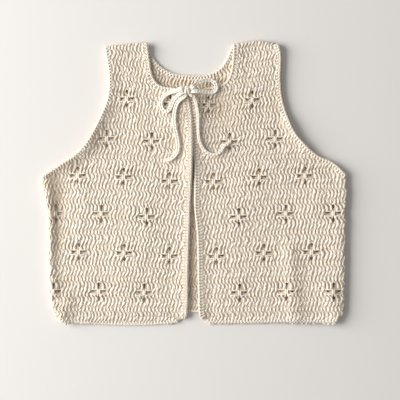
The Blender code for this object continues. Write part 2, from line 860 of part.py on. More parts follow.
def cord_height(x, y):
    """How high a cord's middle runs where it lies on the cloth under and beside it."""
    top = CLOTH
    for turn in range(0, 360, 45):
        way = Vector((math.cos(math.radians(turn)), math.sin(math.radians(turn))))
        point = Vector((x, y)) + way * CORD * 0.6
        for side, outline in FRONT_OUTLINES.items():
            if inside(point, outline.points):
                top = max(top, lay_out(side, point, CLOTH / 2 + BAND_CROWN).z)
    return top + CORD_REST + CORD / 2


def knot_point(leg):
    """Where a leg of the bow starts, just off the knot, and the way it points."""
    turn, rise = math.radians(leg.turn), math.radians(leg.rise)
    way = Vector((math.cos(turn) * math.cos(rise), math.sin(turn) * math.cos(rise),
                  math.sin(rise)))
    reach = 1.0 / math.sqrt(sum((part / half) ** 2 for part, half in zip(way, KNOT_HALF)))
    return Vector(KNOT_MIDDLE) + way * (reach + SEAM), way


def tie_route(stops):
    """The points that a cord runs through, straight out of the knot where it leaves it."""
    points = []
    for index, stop in enumerate(stops):
        if isinstance(stop, Leg):
            start, way = knot_point(stop)
            pair = [start, start + way * CORD]
            points += pair if index == 0 else reversed(pair)
        else:
            height = stop.height
            if height is None:
                height = cord_height(stop.across, stop.up)
            points.append(Vector((stop.across, stop.up, height)))
    return points


def tie(name, stops):
    """A round cord along its route, as a bevelled curve with closed ends."""
    line = spaced_curve(tie_route(stops), CORD * CORD_STEP)
    for point in line:
        point.z = max(point.z, cord_height(point.x, point.y))
    curve = bpy.data.curves.new(name, "CURVE")
    curve.dimensions = "3D"
    curve.bevel_depth = CORD / 2 * MM
    curve.bevel_resolution = 2
    curve.use_fill_caps = True
    spline = curve.splines.new("POLY")
    spline.points.add(len(line) - 1)
    for target, point in zip(spline.points, line):
        target.co = (*(point * MM), 1.0)
    item = bpy.data.objects.new(name, curve)
    bpy.context.collection.objects.link(item)
    curve.materials.append(cotton(name + "_cotton", CREAM_LIGHT))
    return item


def tie_knot():
    """The knot of the bow, a squashed ball of wrapped cord."""
    shape = bmesh.new()
    bmesh.ops.create_uvsphere(shape, u_segments=14, v_segments=9, radius=1.0)
    for vertex in shape.verts:
        vertex.co = Vector([part * half * MM for part, half in zip(vertex.co, KNOT_HALF)])
    mesh = bpy.data.meshes.new("tie_knot")
    shape.to_mesh(mesh)
    shape.free()
    mesh.shade_smooth()
    item = bpy.data.objects.new("tie_knot", mesh)
    item.location = Vector(KNOT_MIDDLE) * MM
    bpy.context.collection.objects.link(item)
    mesh.materials.append(cotton("tie_knot_cotton", CREAM_LIGHT))
    return item


# ---------------------------------------------------------------- the vest

FRONT_OUTLINES = {side: front_outline(side) for side in ("left", "right")}


def build_front(side):
    outline = FRONT_OUTLINES[side]
    corner = OPENING_BAND + SEAM
    cloth_wall("front_" + side, side, outline, CREAM)
    edging("band_front_" + side, side, outline, "neck", "opening", CREAM_LIGHT)
    edging("armhole_" + side + "_front", side, outline, "armhole", "armhole", CREAM_LIGHT)
    edging("hem_" + side, side, outline, "hem", "hem", CREAM_LIGHT, from_corner=corner)


def build_back():
    outline = back_outline()
    cloth_wall("back", "back", outline, CREAM_SHADE)
    edging("band_back_neck", "back", outline, "neck", "neck", CREAM_SHADE)
    for side in ("left", "right"):
        edge = "armhole_" + side
        edging(edge + "_back", "back", outline, edge, edge, CREAM_SHADE)
    edging("hem_back", "back", outline, "hem", "hem", CREAM_SHADE)


def build_bow():
    tie_knot()
    tie("tie_loop_left", TIE_LOOP_LEFT)
    tie("tie_loop_right", TIE_LOOP_RIGHT)
    tie("tie_tail_left", TIE_TAIL_LEFT)
    tie("tie_tail_right", TIE_TAIL_RIGHT)


def main():
    clear_scene()
    build_back()
    build_front("left")
    build_front("right")
    build_bow()


main()
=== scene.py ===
"""Looks of a toddler's crochet vest, laid flat, with its stitches, edgings and ties as yarn.

The tables are in millimetres: +X to the right as seen from above, +Y towards the shoulders and
+Z up.  A row counts up from the hem, and a column counts from the front opening.
"""

import math

import bmesh
import bpy
import numpy as np
from mathutils.bvhtree import BVHTree
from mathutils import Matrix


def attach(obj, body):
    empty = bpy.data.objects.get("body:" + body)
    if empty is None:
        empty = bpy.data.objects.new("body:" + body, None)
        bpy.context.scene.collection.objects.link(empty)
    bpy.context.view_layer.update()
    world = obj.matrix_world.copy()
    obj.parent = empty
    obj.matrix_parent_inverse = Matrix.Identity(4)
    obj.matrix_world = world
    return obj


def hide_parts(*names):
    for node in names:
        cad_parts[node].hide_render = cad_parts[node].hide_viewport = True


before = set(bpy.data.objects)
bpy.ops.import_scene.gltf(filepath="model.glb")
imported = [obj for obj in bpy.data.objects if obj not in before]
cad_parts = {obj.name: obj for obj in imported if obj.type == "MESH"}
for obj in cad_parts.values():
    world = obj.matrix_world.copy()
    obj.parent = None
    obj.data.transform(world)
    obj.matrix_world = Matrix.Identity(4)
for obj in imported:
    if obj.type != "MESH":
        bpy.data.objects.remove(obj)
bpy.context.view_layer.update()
MM = 0.001

# ---- sizes shared with the solids

CLOTH = 2.4  # thickness of the crocheted cloth
SEAM = 0.3  # clear gap between pieces that meet
ROLL = 3.4  # outside radius of the rolled side folds and shoulders
EDGINGS = {"opening": 6.0, "neck": 3.6, "armhole": 4.0, "hem": 2.4}  # widths of the edgings
BACK_PEEK = {"left": -1.0, "right": 2.0}  # how far the back shows beyond each front armhole
SHOULDERS_ABOVE = 118.0  # the rolled shoulders lie above this
OUTWARD = {"left": -1.0, "right": 1.0}

# Outline of the vest, as points across and up.  Neighbouring edges share a corner.
CORNERS = {
    "left": {
        "hem_side": (-149.0, -152.6),
        "underarm": (-168.4, 5.5),
        "shoulder_out": (-98.1, 150.2),
        "shoulder_in": (-51.9, 154.6),
        "neck_front": (-8.6, 101.6),
        "hem_front": (-12.6, -150.4),
    },
    "right": {
        "hem_side": (157.5, -153.4),
        "underarm": (168.0, 7.5),
        "shoulder_out": (92.0, 153.4),
        "shoulder_in": (43.2, 153.6),
        "neck_front": (-5.6, 99.6),
        "hem_front": (8.2, -150.2),
    },
}
SIDE_EDGE = {
    "left": ((-156.6, -136.0), (-160.4, -98.0), (-160.2, -46.0), (-165.0, -14.0)),
    "right": ((163.9, -143.0), (165.6, -105.0), (166.2, -58.0), (167.9, -8.0)),
}
ARMHOLE_EDGE = {
    "left": ((-147.6, 19.3), (-131.1, 30.3), (-116.8, 46.8), (-105.8, 66.6), (-96.5, 89.0),
             (-93.7, 112.8)),
    "right": ((152.7, 21.5), (136.2, 29.2), (119.7, 43.5), (107.6, 60.0), (97.5, 88.0),
              (94.4, 112.8), (95.2, 138.0)),
}
SHOULDER_EDGE = {"left": ((-75.0, 152.8),), "right": ((68.0, 156.8),)}
FRONT_NECK = {
    "left": ((-49.4, 134.8), (-46.0, 117.0), (-37.6, 106.6), (-24.0, 103.6)),
    "right": ((42.6, 136.0), (40.0, 119.5), (33.5, 109.2), (20.0, 105.0)),
}
OPENING_EDGE = {
    "left": ((-4.6, 84.0), (-2.4, 62.0), (-2.4, 20.0), (-4.6, -25.0), (-6.8, -96.0),
             (-8.0, -143.3)),
    "right": ((-5.0, 80.0), (-2.2, 44.0), (0.7, 14.0), (0.4, -24.0), (3.6, -60.0),
              (4.5, -110.0), (5.6, -143.3)),
}
FRONT_HEM = {
    "left": ((-22.0, -154.2), (-60.0, -156.6), (-104.0, -155.7)),
    "right": ((17.4, -154.2), (50.0, -154.7), (94.0, -153.7), (130.0, -153.7)),
}
BACK_NECK = ((-48.6, 143.6), (-42.0, 132.6), (-32.1, 124.2), (-18.0, 118.9), (6.0, 117.9),
             (22.9, 121.6), (32.8, 130.4), (39.0, 143.0))
BACK_HEM = ((-100.0, -148.0), (0.0, -142.5), (105.0, -148.5))

# Rows, how high their feet lie at the sides, and how far they sag towards the opening
ROW_LEVELS = np.array((
    (0.0, -155.5, 0.5),
    (4.5, -119.0, 3.0),
    (9.5, -75.5, 5.5),
    (14.5, -33.0, 8.0),
    (19.5, 8.5, 7.5),
    (24.5, 49.5, 6.0),
    (29.5, 95.0, 9.5),
    (37.0, 158.0, 9.5),
))
SAG_REACH = 60.0
ROWS = 37

# Flowers as in the solids, at these rows: where the first one is, how far apart they are, how
# many there are, and the column of the first one
FLOWER_LEVELS = (4.5, 9.5, 14.5, 19.5, 24.5, 29.5)
FLOWER_ROWS = {
    "left": (
        (-154.7, 50.0, 3, -40), (-126.7, 50.0, 3, -33), (-152.0, 50.0, 3, -40),
        (-127.8, 50.6, 3, -34), (-95.9, 49.5, 2, -26), (-73.9, 47.8, 2, -20),
    ),
    "right": (
        (50.4, 51.4, 3, 13), (25.1, 52.2, 3, 7), (49.3, 51.9, 3, 13),
        (21.8, 50.2, 3, 6), (39.4, 50.0, 2, 10), (16.3, 47.8, 2, 4),
    ),
    "back": (
        (-101.4, 50.7, 5, -26), (-126.8, 50.7, 6, -33), (-101.4, 50.7, 5, -26),
        (-126.8, 50.7, 6, -33), (-76.0, 50.7, 4, -20), (-76.0, 50.7, 4, -20),
    ),
}
FLOWER_SPACING = 13  # columns from one flower to the next

CORD = 3.0  # thickness of a cord
CORD_REST = 0.25  # clear gap between a cord and what it lies on
KNOT_MIDDLE = (-7.6, 101.0, 11.8)
KNOT_HALF = (4.2, 4.9, 3.1)
# The bow's cords: the way out of the knot, as a turn and a rise in degrees, the stops, as points
# across, up and high, and the way back into the knot.  A stop without a height lies on the cloth.
TIES = {
    "tie_loop_left": (
        (168.0, 6.0),
        ((-18.5, 100.6, 8.4), (-27.0, 98.4), (-33.6, 94.0), (-36.4, 87.0), (-34.6, 80.2),
         (-30.4, 77.6), (-26.6, 80.6), (-23.8, 87.2), (-20.6, 92.6, 8.2)),
        (208.0, -4.0)),
    "tie_loop_right": (
        (30.0, 14.0),
        ((2.6, 108.0, 10.2), (10.0, 111.4, 8.4), (17.4, 112.6, 7.0), (22.6, 109.6, 7.4),
         (24.4, 104.2), (22.0, 99.8), (16.0, 99.0), (8.6, 99.8, 8.8)),
        (348.0, 2.0)),
    "tie_tail_left": (
        (248.0, -10.0),
        ((-13.6, 92.0, 9.2), (-18.6, 86.6), (-21.6, 76.0), (-21.4, 62.0), (-18.6, 49.0),
         (-17.4, 39.6), (-19.4, 32.0), (-24.8, 26.4), (-30.8, 24.2)),
        None),
    "tie_tail_right": (
        (306.0, -6.0),
        ((-0.4, 94.2, 9.0), (2.6, 85.0), (4.2, 74.0), (4.4, 60.0), (5.4, 48.0), (9.0, 38.6),
         (15.4, 32.4), (23.4, 30.8), (29.6, 34.4), (33.0, 40.2), (37.6, 42.4)),
        None),
}


# ---- camera and light

PHOTO_WIDTH = 400  # pixels across the picture
PHOTO_SCALE = 1.1  # millimetres of the cloth in one of them
PHOTO_MIDDLE = (6.4, -19.2)  # where the middle of the picture falls on the cloth
CLOTH_LEVEL = 5.0  # height of the cloth's upper side there
LENS = 100.0
SENSOR = 36.0
WINDOW_PLACE = (-2.05, 0.2, 1.05)  # in metres
WINDOW_SIZE = 1.8
WINDOW_POWER = 99.0
ROOM_LIGHT = 0.30
FLOOR_HALF = 3.0  # half the floor's width, in metres
FLOOR_BELOW = 0.0002  # keeps it clear of the cloth's underside


def add_object(name, data):
    item = bpy.data.objects.new(name, data)
    bpy.context.collection.objects.link(item)
    return item


def set_inputs(node, **values):
    """Sets inputs of a shader node by their names, with _ for a space."""
    for name, value in values.items():
        node.inputs[name.replace("_", " ")].default_value = value


def make_camera():
    data = bpy.data.cameras.new("camera")
    data.lens = LENS
    data.sensor_width = SENSOR
    data.clip_end = 10.0
    camera = add_object("camera", data)
    height = PHOTO_WIDTH * PHOTO_SCALE * LENS / SENSOR + CLOTH_LEVEL
    camera.location = (PHOTO_MIDDLE[0] * MM, PHOTO_MIDDLE[1] * MM, height * MM)
    bpy.context.scene.camera = camera


def make_light():
    """A low window on the left, turned to the middle of the vest, and a dim pale room."""
    data = bpy.data.lights.new("window", "AREA")
    data.shape = "RECTANGLE"
    data.size = WINDOW_SIZE
    data.size_y = WINDOW_SIZE
    data.energy = WINDOW_POWER
    data.color = (1.0, 0.98, 0.95)
    window = add_object("window", data)
    window.location = WINDOW_PLACE
    x, y, z = WINDOW_PLACE
    window.rotation_euler = (
        math.atan2(math.hypot(x, y), z), 0.0, math.atan2(-y, -x) - math.pi / 2)
    world = bpy.data.worlds.new("room")
    world.use_nodes = True
    set_inputs(world.node_tree.nodes["Background"],
               Color=(1.0, 0.985, 0.965, 1.0), Strength=ROOM_LIGHT)
    bpy.context.scene.world = world
    bpy.context.scene.view_settings.view_transform = "Standard"


def make_floor():
    half = FLOOR_HALF
    mesh = bpy.data.meshes.new("floor")
    mesh.from_pydata([(-half, -half, 0), (half, -half, 0), (half, half, 0), (-half, half, 0)],
                     [], [(0, 1, 2, 3)])
    floor = add_object("floor", mesh)
    floor.location.z = -FLOOR_BELOW
    material = bpy.data.materials.new("pale_floor")
    material.use_nodes = True
    set_inputs(material.node_tree.nodes["Principled BSDF"],
               Base_Color=(0.79, 0.775, 0.76, 1.0), Roughness=0.75, Specular_IOR_Level=0.2)
    mesh.materials.append(material)


# ---- cotton

# Darkest and lightest cream of the plies, and the painted shade colour of hollows, gaps and undersides
CREAM = ((0.78, 0.705, 0.60, 1.0), (0.95, 0.885, 0.80, 1.0))
CORD_CREAM = ((0.87, 0.81, 0.715, 1.0), (0.97, 0.92, 0.83, 1.0))
HOLLOW_SHADE = (0.68, 0.575, 0.45, 1.0)

# Places of a Mix node's colour sockets
FACTOR, UNDER, OVER = 0, 6, 7
MIXED = 2


def cotton(name, dark, light):
    """Matt cotton yarn with uneven plies and fibre grain, mixed towards a painted shade colour by the
    depth attribute.
    """
    material = bpy.data.materials.new(name)
    material.use_nodes = True
    nodes = material.node_tree.nodes
    links = material.node_tree.links

    def add(kind, **values):
        node = nodes.new("ShaderNode" + kind)
        set_inputs(node, **values)
        return node

    def mix(share, over):
        node = add("Mix")
        node.data_type = "RGBA"
        node.inputs[OVER].default_value = over
        links.new(share, node.inputs[FACTOR])
        return node

    shader = nodes["Principled BSDF"]
    set_inputs(shader, Roughness=0.92, Specular_IOR_Level=0.15, Sheen_Weight=0.08,
               Sheen_Roughness=0.5)
    place = add("TexCoord").outputs["Object"]
    ply = add("TexNoise", Scale=620.0, Detail=2.0)
    links.new(place, ply.inputs["Vector"])
    spread = add("MapRange", From_Min=0.36, From_Max=0.60)
    links.new(ply.outputs["Fac"], spread.inputs["Value"])
    tone = mix(spread.outputs["Result"], light)
    tone.inputs[UNDER].default_value = dark
    # The depth attribute carries painted shade, plus some random tint, for this mix.
    depth = add("Attribute")
    depth.attribute_name = "depth"
    deep = mix(depth.outputs["Fac"], HOLLOW_SHADE)
    links.new(tone.outputs[MIXED], deep.inputs[UNDER])
    links.new(deep.outputs[MIXED], shader.inputs["Base Color"])
    fibre = add("TexNoise", Scale=2600.0, Detail=3.0)
    links.new(place, fibre.inputs["Vector"])
    bump = add("Bump", Strength=0.25, Distance=0.0002)
    links.new(fibre.outputs["Fac"], bump.inputs["Height"])
    links.new(bump.outputs["Normal"], shader.inputs["Normal"])
    return material


COTTON = {
    "cotton_cloth": cotton("cloth_yarn", *CREAM),
    "cotton_edging": cotton("edging_yarn", *CREAM),
    "cotton_cord": cotton("cord_yarn", *CORD_CREAM),
}


# ---- outlines

EDGE_STEP = 1.0  # spacing of the places along an edge
CURVE_POINTS = 20  # points worked out between two given ones


def smooth_line(points, step):
    """Even points about a step apart on the Catmull-Rom curve through the given ones."""
    given = np.array(points, float)
    ends = 2 * given[0] - given[1], 2 * given[-1] - given[-2]
    padded = np.vstack((ends[0], given, ends[1]))
    share = np.linspace(0, 1, CURVE_POINTS, endpoint=False)[:, None]
    fine = []
    for before, start, end, after in zip(padded, padded[1:], padded[2:], padded[3:]):
        fine.append(0.5 * (2 * start + (end - before) * share
                           + (2 * before - 5 * start + 4 * end - after) * share ** 2
                           + (3 * start - before - 3 * end + after) * share ** 3))
    return resampled(np.vstack((*fine, given[-1:])), step)


def run_along(line):
    """How far along a line each of its points lies."""
    return np.concatenate(([0.0], np.cumsum(np.linalg.norm(np.diff(line, axis=0), axis=1))))


def resampled(line, step):
    run = run_along(line)
    stops = np.linspace(0, run[-1], max(1, round(run[-1] / step)) + 1)
    return np.column_stack([np.interp(stops, run, axis) for axis in line.T])


def edge_line(side, first, points, last):
    corner = CORNERS[side]
    return smooth_line((corner[first], *points, corner[last]), EDGE_STEP)


def shifted(points, shift):
    return tuple((across + shift, up) for across, up in points)


# Edges round a front: name, and the corner, points and corner that it runs through
FRONT_EDGES = (
    ("side", "hem_side", SIDE_EDGE, "underarm"),
    ("armhole", "underarm", ARMHOLE_EDGE, "shoulder_out"),
    ("shoulder", "shoulder_out", SHOULDER_EDGE, "shoulder_in"),
    ("neck", "shoulder_in", FRONT_NECK, "neck_front"),
    ("opening", "neck_front", OPENING_EDGE, "hem_front"),
    ("hem", "hem_front", FRONT_HEM, "hem_side"),
)
EDGES = {}
for SIDE in OUTWARD:
    for NAME, FIRST, POINTS, LAST in FRONT_EDGES:
        EDGES[SIDE, NAME] = edge_line(SIDE, FIRST, POINTS[SIDE], LAST)
    EDGES["back", "armhole_" + SIDE] = edge_line(
        SIDE, "underarm", shifted(ARMHOLE_EDGE[SIDE], OUTWARD[SIDE] * BACK_PEEK[SIDE]),
        "shoulder_out")
EDGES["back", "neck"] = smooth_line(
    (CORNERS["left"]["shoulder_in"], *BACK_NECK, CORNERS["right"]["shoulder_in"]), EDGE_STEP)
EDGES["back", "hem"] = smooth_line(
    (CORNERS["right"]["hem_side"], *reversed(BACK_HEM), CORNERS["left"]["hem_side"]), EDGE_STEP)

SHOULDER_CURVE = {
    side: EDGES[side, "shoulder"][np.argsort(EDGES[side, "shoulder"][:, 0])] for side in OUTWARD}


def back_outline():
    left, right = "left", "right"
    return np.vstack((
        EDGES[left, "side"], EDGES["back", "armhole_left"], EDGES[left, "shoulder"],
        EDGES["back", "neck"], EDGES[right, "shoulder"][::-1],
        EDGES["back", "armhole_right"][::-1], EDGES[right, "side"][::-1], EDGES["back", "hem"]))


OUTLINES = {side: np.vstack([EDGES[side, edge[0]] for edge in FRONT_EDGES]) for side in OUTWARD}
OUTLINES["back"] = back_outline()


def sides_of(panel):
    return tuple(OUTWARD) if panel == "back" else (panel,)


def side_x(side, y):
    """Where a side's edge runs."""
    return np.interp(y, EDGES[side, "side"][:, 1], EDGES[side, "side"][:, 0])


def edge_distance(line, x, y):
    """Distance of points from a finely spaced line."""
    spots = np.column_stack((np.ravel(x), np.ravel(y)))
    least = np.full(len(spots), np.inf)
    for first in range(0, len(line), 64):
        part = line[first:first + 64]
        away = np.hypot(spots[:, :1] - part[None, :, 0], spots[:, 1:] - part[None, :, 1])
        least = np.minimum(least, away.min(axis=1))
    return least.reshape(np.shape(x))


def inside(outline, x, y):
    """Whether points lie inside a closed outline."""
    found = np.zeros(np.shape(x), bool)
    for first, second in zip(outline, np.roll(outline, -1, axis=0)):
        if first[1] == second[1]:
            continue
        spans = (first[1] > y) != (second[1] > y)
        cut = first[0] + (y - first[1]) * (second[0] - first[0]) / (second[1] - first[1])
        found ^= spans & (x < cut)
    return found


# ---- heights of the solids

ABOVE_ALL = 50.0  # where the rays that look for the cloth start
DOWN = (0.0, 0.0, -1.0)
TOP_STEP = 1.5  # spacing of the heights read from the solids
TOP_MARGIN = 9.0  # how far past the solids the grid of them reaches


def tree_of(names):
    corners = []
    faces = []
    for name in names:
        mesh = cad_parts[name].data
        base = len(corners)
        corners += [vertex.co / MM for vertex in mesh.vertices]
        faces += [[base + index for index in face.vertices] for face in mesh.polygons]
    return BVHTree.FromPolygons(corners, faces), np.array(corners)


class Grid:
    """Values at the points of an even grid, read at any place between them."""

    def __init__(self, low, step, values):
        self.low = low
        self.step = step
        self.values = values

    def __call__(self, x, y):
        grid = self.values
        i = np.clip((x - self.low[0]) / self.step, 0, grid.shape[0] - 1.001)
        j = np.clip((y - self.low[1]) / self.step, 0, grid.shape[1] - 1.001)
        a, b = i.astype(int), j.astype(int)
        u, v = i - a, j - b
        return ((grid[a, b] * (1 - u) + grid[a + 1, b] * u) * (1 - v)
                + (grid[a, b + 1] * (1 - u) + grid[a + 1, b + 1] * u) * v)


def mean_around(values):
    """The mean of each value and its neighbours, left unknown where all of them are."""
    rows, columns = values.shape
    padded = np.pad(values, 1, constant_values=np.nan)
    parts = [padded[i:i + rows, j:j + columns] for i in range(3) for j in range(3)]
    count = np.isfinite(parts).sum(axis=0)
    return np.where(count > 0, np.nansum(parts, axis=0) / np.maximum(count, 1), np.nan)


def top_of(names):
    """The upper side of some CAD nodes, with gaps and surroundings filled in."""
    tree, corners = tree_of(names)
    low = corners[:, :2].min(axis=0) - TOP_MARGIN
    count = ((corners[:, :2].max(axis=0) + TOP_MARGIN - low) / TOP_STEP).astype(int) + 1
    found = np.full(count, np.nan)
    for i, j in np.ndindex(*count):
        x, y = low + (i * TOP_STEP, j * TOP_STEP)
        hit = tree.ray_cast((x, y, ABOVE_ALL), DOWN)[0]
        if hit is not None:
            found[i, j] = hit.z
    while np.isnan(found).any():
        found = np.where(np.isnan(found), mean_around(found), found)
    return Grid(low, TOP_STEP, 0.5 * found + 0.5 * mean_around(found))


def unit(vectors):
    return vectors / np.maximum(np.linalg.norm(vectors, axis=-1, keepdims=True), 1e-9)


class Cloth:
    """One side of a panel: where its pattern points lie, and which way is out of the cloth."""

    SLOPE = 1.5  # distance over which the cloth's slope is measured
    FULL_TURN = math.pi / 2 + 0.1  # how far round a roll its stitches go

    def __init__(self, panel, facing, height):
        self.panel = panel
        self.facing = facing
        self.height = height

    def folds(self, x, y, slack):
        """The panel's rolled folds: axis, way out, crest, and the places that are beside them.

        A side fold ends this much slack above the underarm.
        """
        for side in sides_of(self.panel):
            outward = OUTWARD[side]
            yield 0, outward, side_x(side, y) - outward * ROLL, y < CORNERS[side]["underarm"][1] + slack
            curve = SHOULDER_CURVE[side]
            crest = np.interp(x, curve[:, 0], curve[:, 1]) - ROLL
            yield 1, 1.0, crest, (x * outward > 0) & (y > SHOULDERS_ABOVE)

    def surface(self, x, y):
        """Points on the cloth's surface, and the way out there."""
        x, y = np.broadcast_arrays(np.asarray(x, float), np.asarray(y, float))
        step = self.SLOPE
        slope_x = self.height(x + step, y) - self.height(x - step, y)
        slope_y = self.height(x, y + step) - self.height(x, y - step)
        out = np.stack((-slope_x, -slope_y, np.full(x.shape, 2 * step)), axis=-1)
        out = unit(out) * self.facing
        place = np.stack((x, y, self.height(x, y)), axis=-1)
        for axis, outward, crest, beside in self.folds(x, y, slack=1.0):
            beyond = ((x, y)[axis] - crest) * outward
            rolled = beside & (beyond > 0)
            arc = np.minimum(beyond / ROLL, self.FULL_TURN)
            turned = np.zeros(out.shape)
            turned[..., axis] = outward * np.sin(arc)
            turned[..., 2] = self.facing * np.cos(arc)
            place[..., axis] = np.where(rolled, crest + ROLL * turned[..., axis], place[..., axis])
            place[..., 2] = np.where(rolled, ROLL + ROLL * turned[..., 2], place[..., 2])
            out = np.where(rolled[..., None], turned, out)
        return place, out

    def at(self, x, y, above):
        """Points at a height above the cloth's surface, and the way out there."""
        place, out = self.surface(x, y)
        return place + out * np.asarray(above)[..., None], out


def flat(level):
    return lambda x, y: np.full(np.shape(x), level)


def front_cloth(side):
    nodes = ["front_" + side, "band_front_" + side, "armhole_" + side + "_front", "hem_" + side]
    return Cloth(side, 1.0, top_of(nodes))


CLOTHS = {side: front_cloth(side) for side in OUTWARD}
CLOTHS["back"] = Cloth("back", -1.0, flat(0.0))
CLOTHS["inside"] = Cloth("back", 1.0, flat(CLOTH))

# ---- creases

# Ridges in the fronts on top of the solids' form: where the crest runs from and to, its height,
# and its reach on the left and on the right
CREASES = {
    "left": (
        (-13.0, 104.0, -15.0, 64.0, 1.4, 15.0, 5.0),
        (-151.0, -70.0, -148.0, 6.0, -1.3, 6.0, 12.0),
        (-150.0, 20.0, -121.0, 36.0, 1.6, 5.0, 8.0),
        (-117.0, 44.0, -102.0, 76.0, 1.7, 5.0, 9.0),
        (-146.0, -152.0, -140.0, -128.0, 1.5, 5.0, 8.0),
        (-153.0, -95.0, -150.0, -20.0, -0.9, 6.0, 9.0),
        (-128.0, -60.0, -118.0, -8.0, 0.5, 9.0, 7.0),
        (-60.0, -84.0, -48.0, -52.0, 0.5, 8.0, 10.0),
        (-76.0, 10.0, -60.0, 40.0, 0.6, 9.0, 12.0),
        (-28.0, -120.0, -24.0, -86.0, -0.5, 7.0, 7.0),
        (-92.0, 96.0, -88.0, 140.0, 0.9, 5.0, 9.0),
        (-34.0, 36.0, -24.0, 96.0, 0.9, 9.0, 6.0),
    ),
    "right": (
        (3.0, 96.0, 8.0, 52.0, 2.3, 5.0, 17.0),
        (152.0, -130.0, 156.0, -10.0, 2.0, 38.0, 9.0),
        (106.0, -74.0, 111.0, -148.0, 1.5, 7.0, 8.0),
        (150.0, -116.0, 156.0, -150.0, 1.2, 8.0, 5.0),
        (106.0, 64.0, 126.0, 44.0, 1.2, 10.0, 6.0),
        (24.0, 94.0, 32.0, 78.0, -1.9, 13.0, 12.0),
        (8.0, 84.0, 12.0, 44.0, -0.7, 6.0, 10.0),
        (132.0, -30.0, 140.0, 4.0, 0.6, 8.0, 10.0),
        (60.0, -62.0, 72.0, -36.0, -0.5, 10.0, 9.0),
        (78.0, 10.0, 66.0, 44.0, 0.5, 10.0, 12.0),
        (62.0, 118.0, 66.0, 148.0, -0.8, 8.0, 10.0),
    ),
}
# Edges that stand up a little: height, how far in the crest lies, its reach, and between which Y
CURLS = {
    "left": (
        ("opening", 1.3, 2.0, 4.5, -146.0, 60.0),
        ("armhole", 0.9, 3.0, 5.0, 20.0, 130.0),
        ("side", 1.2, 5.0, 5.0, -150.0, 2.0),
        ("hem", 0.5, 1.5, 4.0, -160.0, -140.0),
    ),
    "right": (
        ("opening", 0.8, 1.0, 5.0, -150.0, 80.0),
        ("armhole", 0.7, 2.0, 4.0, 20.0, 140.0),
        ("hem", 0.5, 1.5, 4.0, -160.0, -140.0),
    ),
}
# Painted shade where less light reaches the yarn: middle, size and how much darker
DIP_SHADES = {
    "left": (
        (-152.0, -36.0, 8.0, 46.0, 0.60),
        (-157.0, 0.0, 12.0, 14.0, 0.55),
        (-137.0, 20.0, 14.0, 8.0, 0.40),
        (-108.0, 50.0, 8.0, 16.0, 0.40),
        (-143.0, -128.0, 9.0, 22.0, 0.30),
        (-13.0, 66.0, 6.0, 34.0, 0.40),
    ),
    "right": (
        (26.0, 88.0, 20.0, 15.0, 0.50),
        (46.0, 74.0, 22.0, 14.0, 0.25),
        (110.0, -105.0, 5.0, 36.0, 0.35),
        (88.0, 92.0, 8.0, 22.0, 0.35),
        (58.0, 120.0, 12.0, 24.0, 0.15),
        (135.0, 22.0, 14.0, 9.0, 0.30),
    ),
}
CREASE_FADE = 9.0  # how far past its ends a crease fades out
CURL_FADE = 10.0
LIFT_STEP = 2.0  # the grid that creases and curls are worked out on
LIFT_LOW = (-180.0, -170.0)
LIFT_COUNT = (181, 171)
LIFT_RUN = 2.0  # what lies this far above the back moves in full


def dimness(panel, x, y):
    """How much painted shade the dips put on the yarn."""
    total = np.zeros(np.shape(x))
    for middle_x, middle_y, wide, high, shade in DIP_SHADES[panel]:
        away = ((x - middle_x) / wide) ** 2 + ((y - middle_y) / high) ** 2
        total += shade * np.exp(-away)
    return total


def crease_height(crease, x, y):
    x_from, y_from, x_to, y_to, rise, before, past = crease
    start = np.array((x_from, y_from))
    way = np.array((x_to, y_to)) - start
    length = math.hypot(*way)
    way = way / length
    along = (x - start[0]) * way[0] + (y - start[1]) * way[1]
    across = (x - start[0]) * way[1] - (y - start[1]) * way[0]
    across = across * math.copysign(1.0, way[1])
    beyond = np.maximum(0.0, np.maximum(-along, along - length))
    reach = np.where(across < 0, before, past)
    return rise * np.exp(-(across / reach) ** 2 - (beyond / CREASE_FADE) ** 2)


def lift_of(panel):
    """How far the creases and curled edges move a front up."""
    x, y = np.meshgrid(LIFT_LOW[0] + LIFT_STEP * np.arange(LIFT_COUNT[0]),
                       LIFT_LOW[1] + LIFT_STEP * np.arange(LIFT_COUNT[1]), indexing="ij")
    lift = np.zeros(x.shape)
    for crease in CREASES[panel]:
        lift += crease_height(crease, x, y)
    for edge, rise, middle, reach, low, high in CURLS[panel]:
        away = edge_distance(EDGES[panel, edge], x, y) - middle
        ends = np.maximum(0.0, np.maximum(low - y, y - high)) / CURL_FADE
        lift += rise * np.exp(-(away / reach) ** 2 - ends ** 2)
    return Grid(LIFT_LOW, LIFT_STEP, lift)


LIFTS = {side: lift_of(side) for side in OUTWARD}


def lifted(points, panel):
    """Points of a front moved up with its creases, less and less towards the surface below."""
    share = np.clip((points[:, 2] - CLOTH) / LIFT_RUN, 0.0, 1.0)
    moved = points.copy()
    moved[:, 2] += LIFTS[panel](points[:, 0], points[:, 1]) * share
    return moved


# ---- rows and columns

def row_height(row, x):
    rows, ups, sags = ROW_LEVELS.T
    up = np.interp(row, rows, ups)
    sag = np.interp(row, rows, sags)
    return up - sag * np.exp(-(x / SAG_REACH) ** 2)


def column_table(panel):
    """Rows with flowers, with where column 0 runs there and the width of a column."""
    table = []
    for row, (first, step, _, column) in zip(FLOWER_LEVELS, FLOWER_ROWS[panel]):
        pitch = step / FLOWER_SPACING
        table.append((row, first - column * pitch, pitch))
    return np.array(table)


COLUMNS = {panel: column_table(panel) for panel in FLOWER_ROWS}


def column_place(panel, row, column):
    """Where a column runs at a row, and its width there."""
    table = COLUMNS[panel]
    pitch = np.interp(row, table[:, 0], table[:, 2])
    return np.interp(row, table[:, 0], table[:, 1]) + column * pitch, pitch


def flower_cells(panel):
    """The row and column of every flower's middle."""
    return [(int(row), column + FLOWER_SPACING * number)
            for row, (_, _, count, column) in zip(FLOWER_LEVELS, FLOWER_ROWS[panel])
            for number in range(count)]


def stitch_place(panel, row, column):
    """Where a stitch's middle lies."""
    x, _ = column_place(panel, row + 0.5, column)
    return x, row_height(row + 0.5, x)


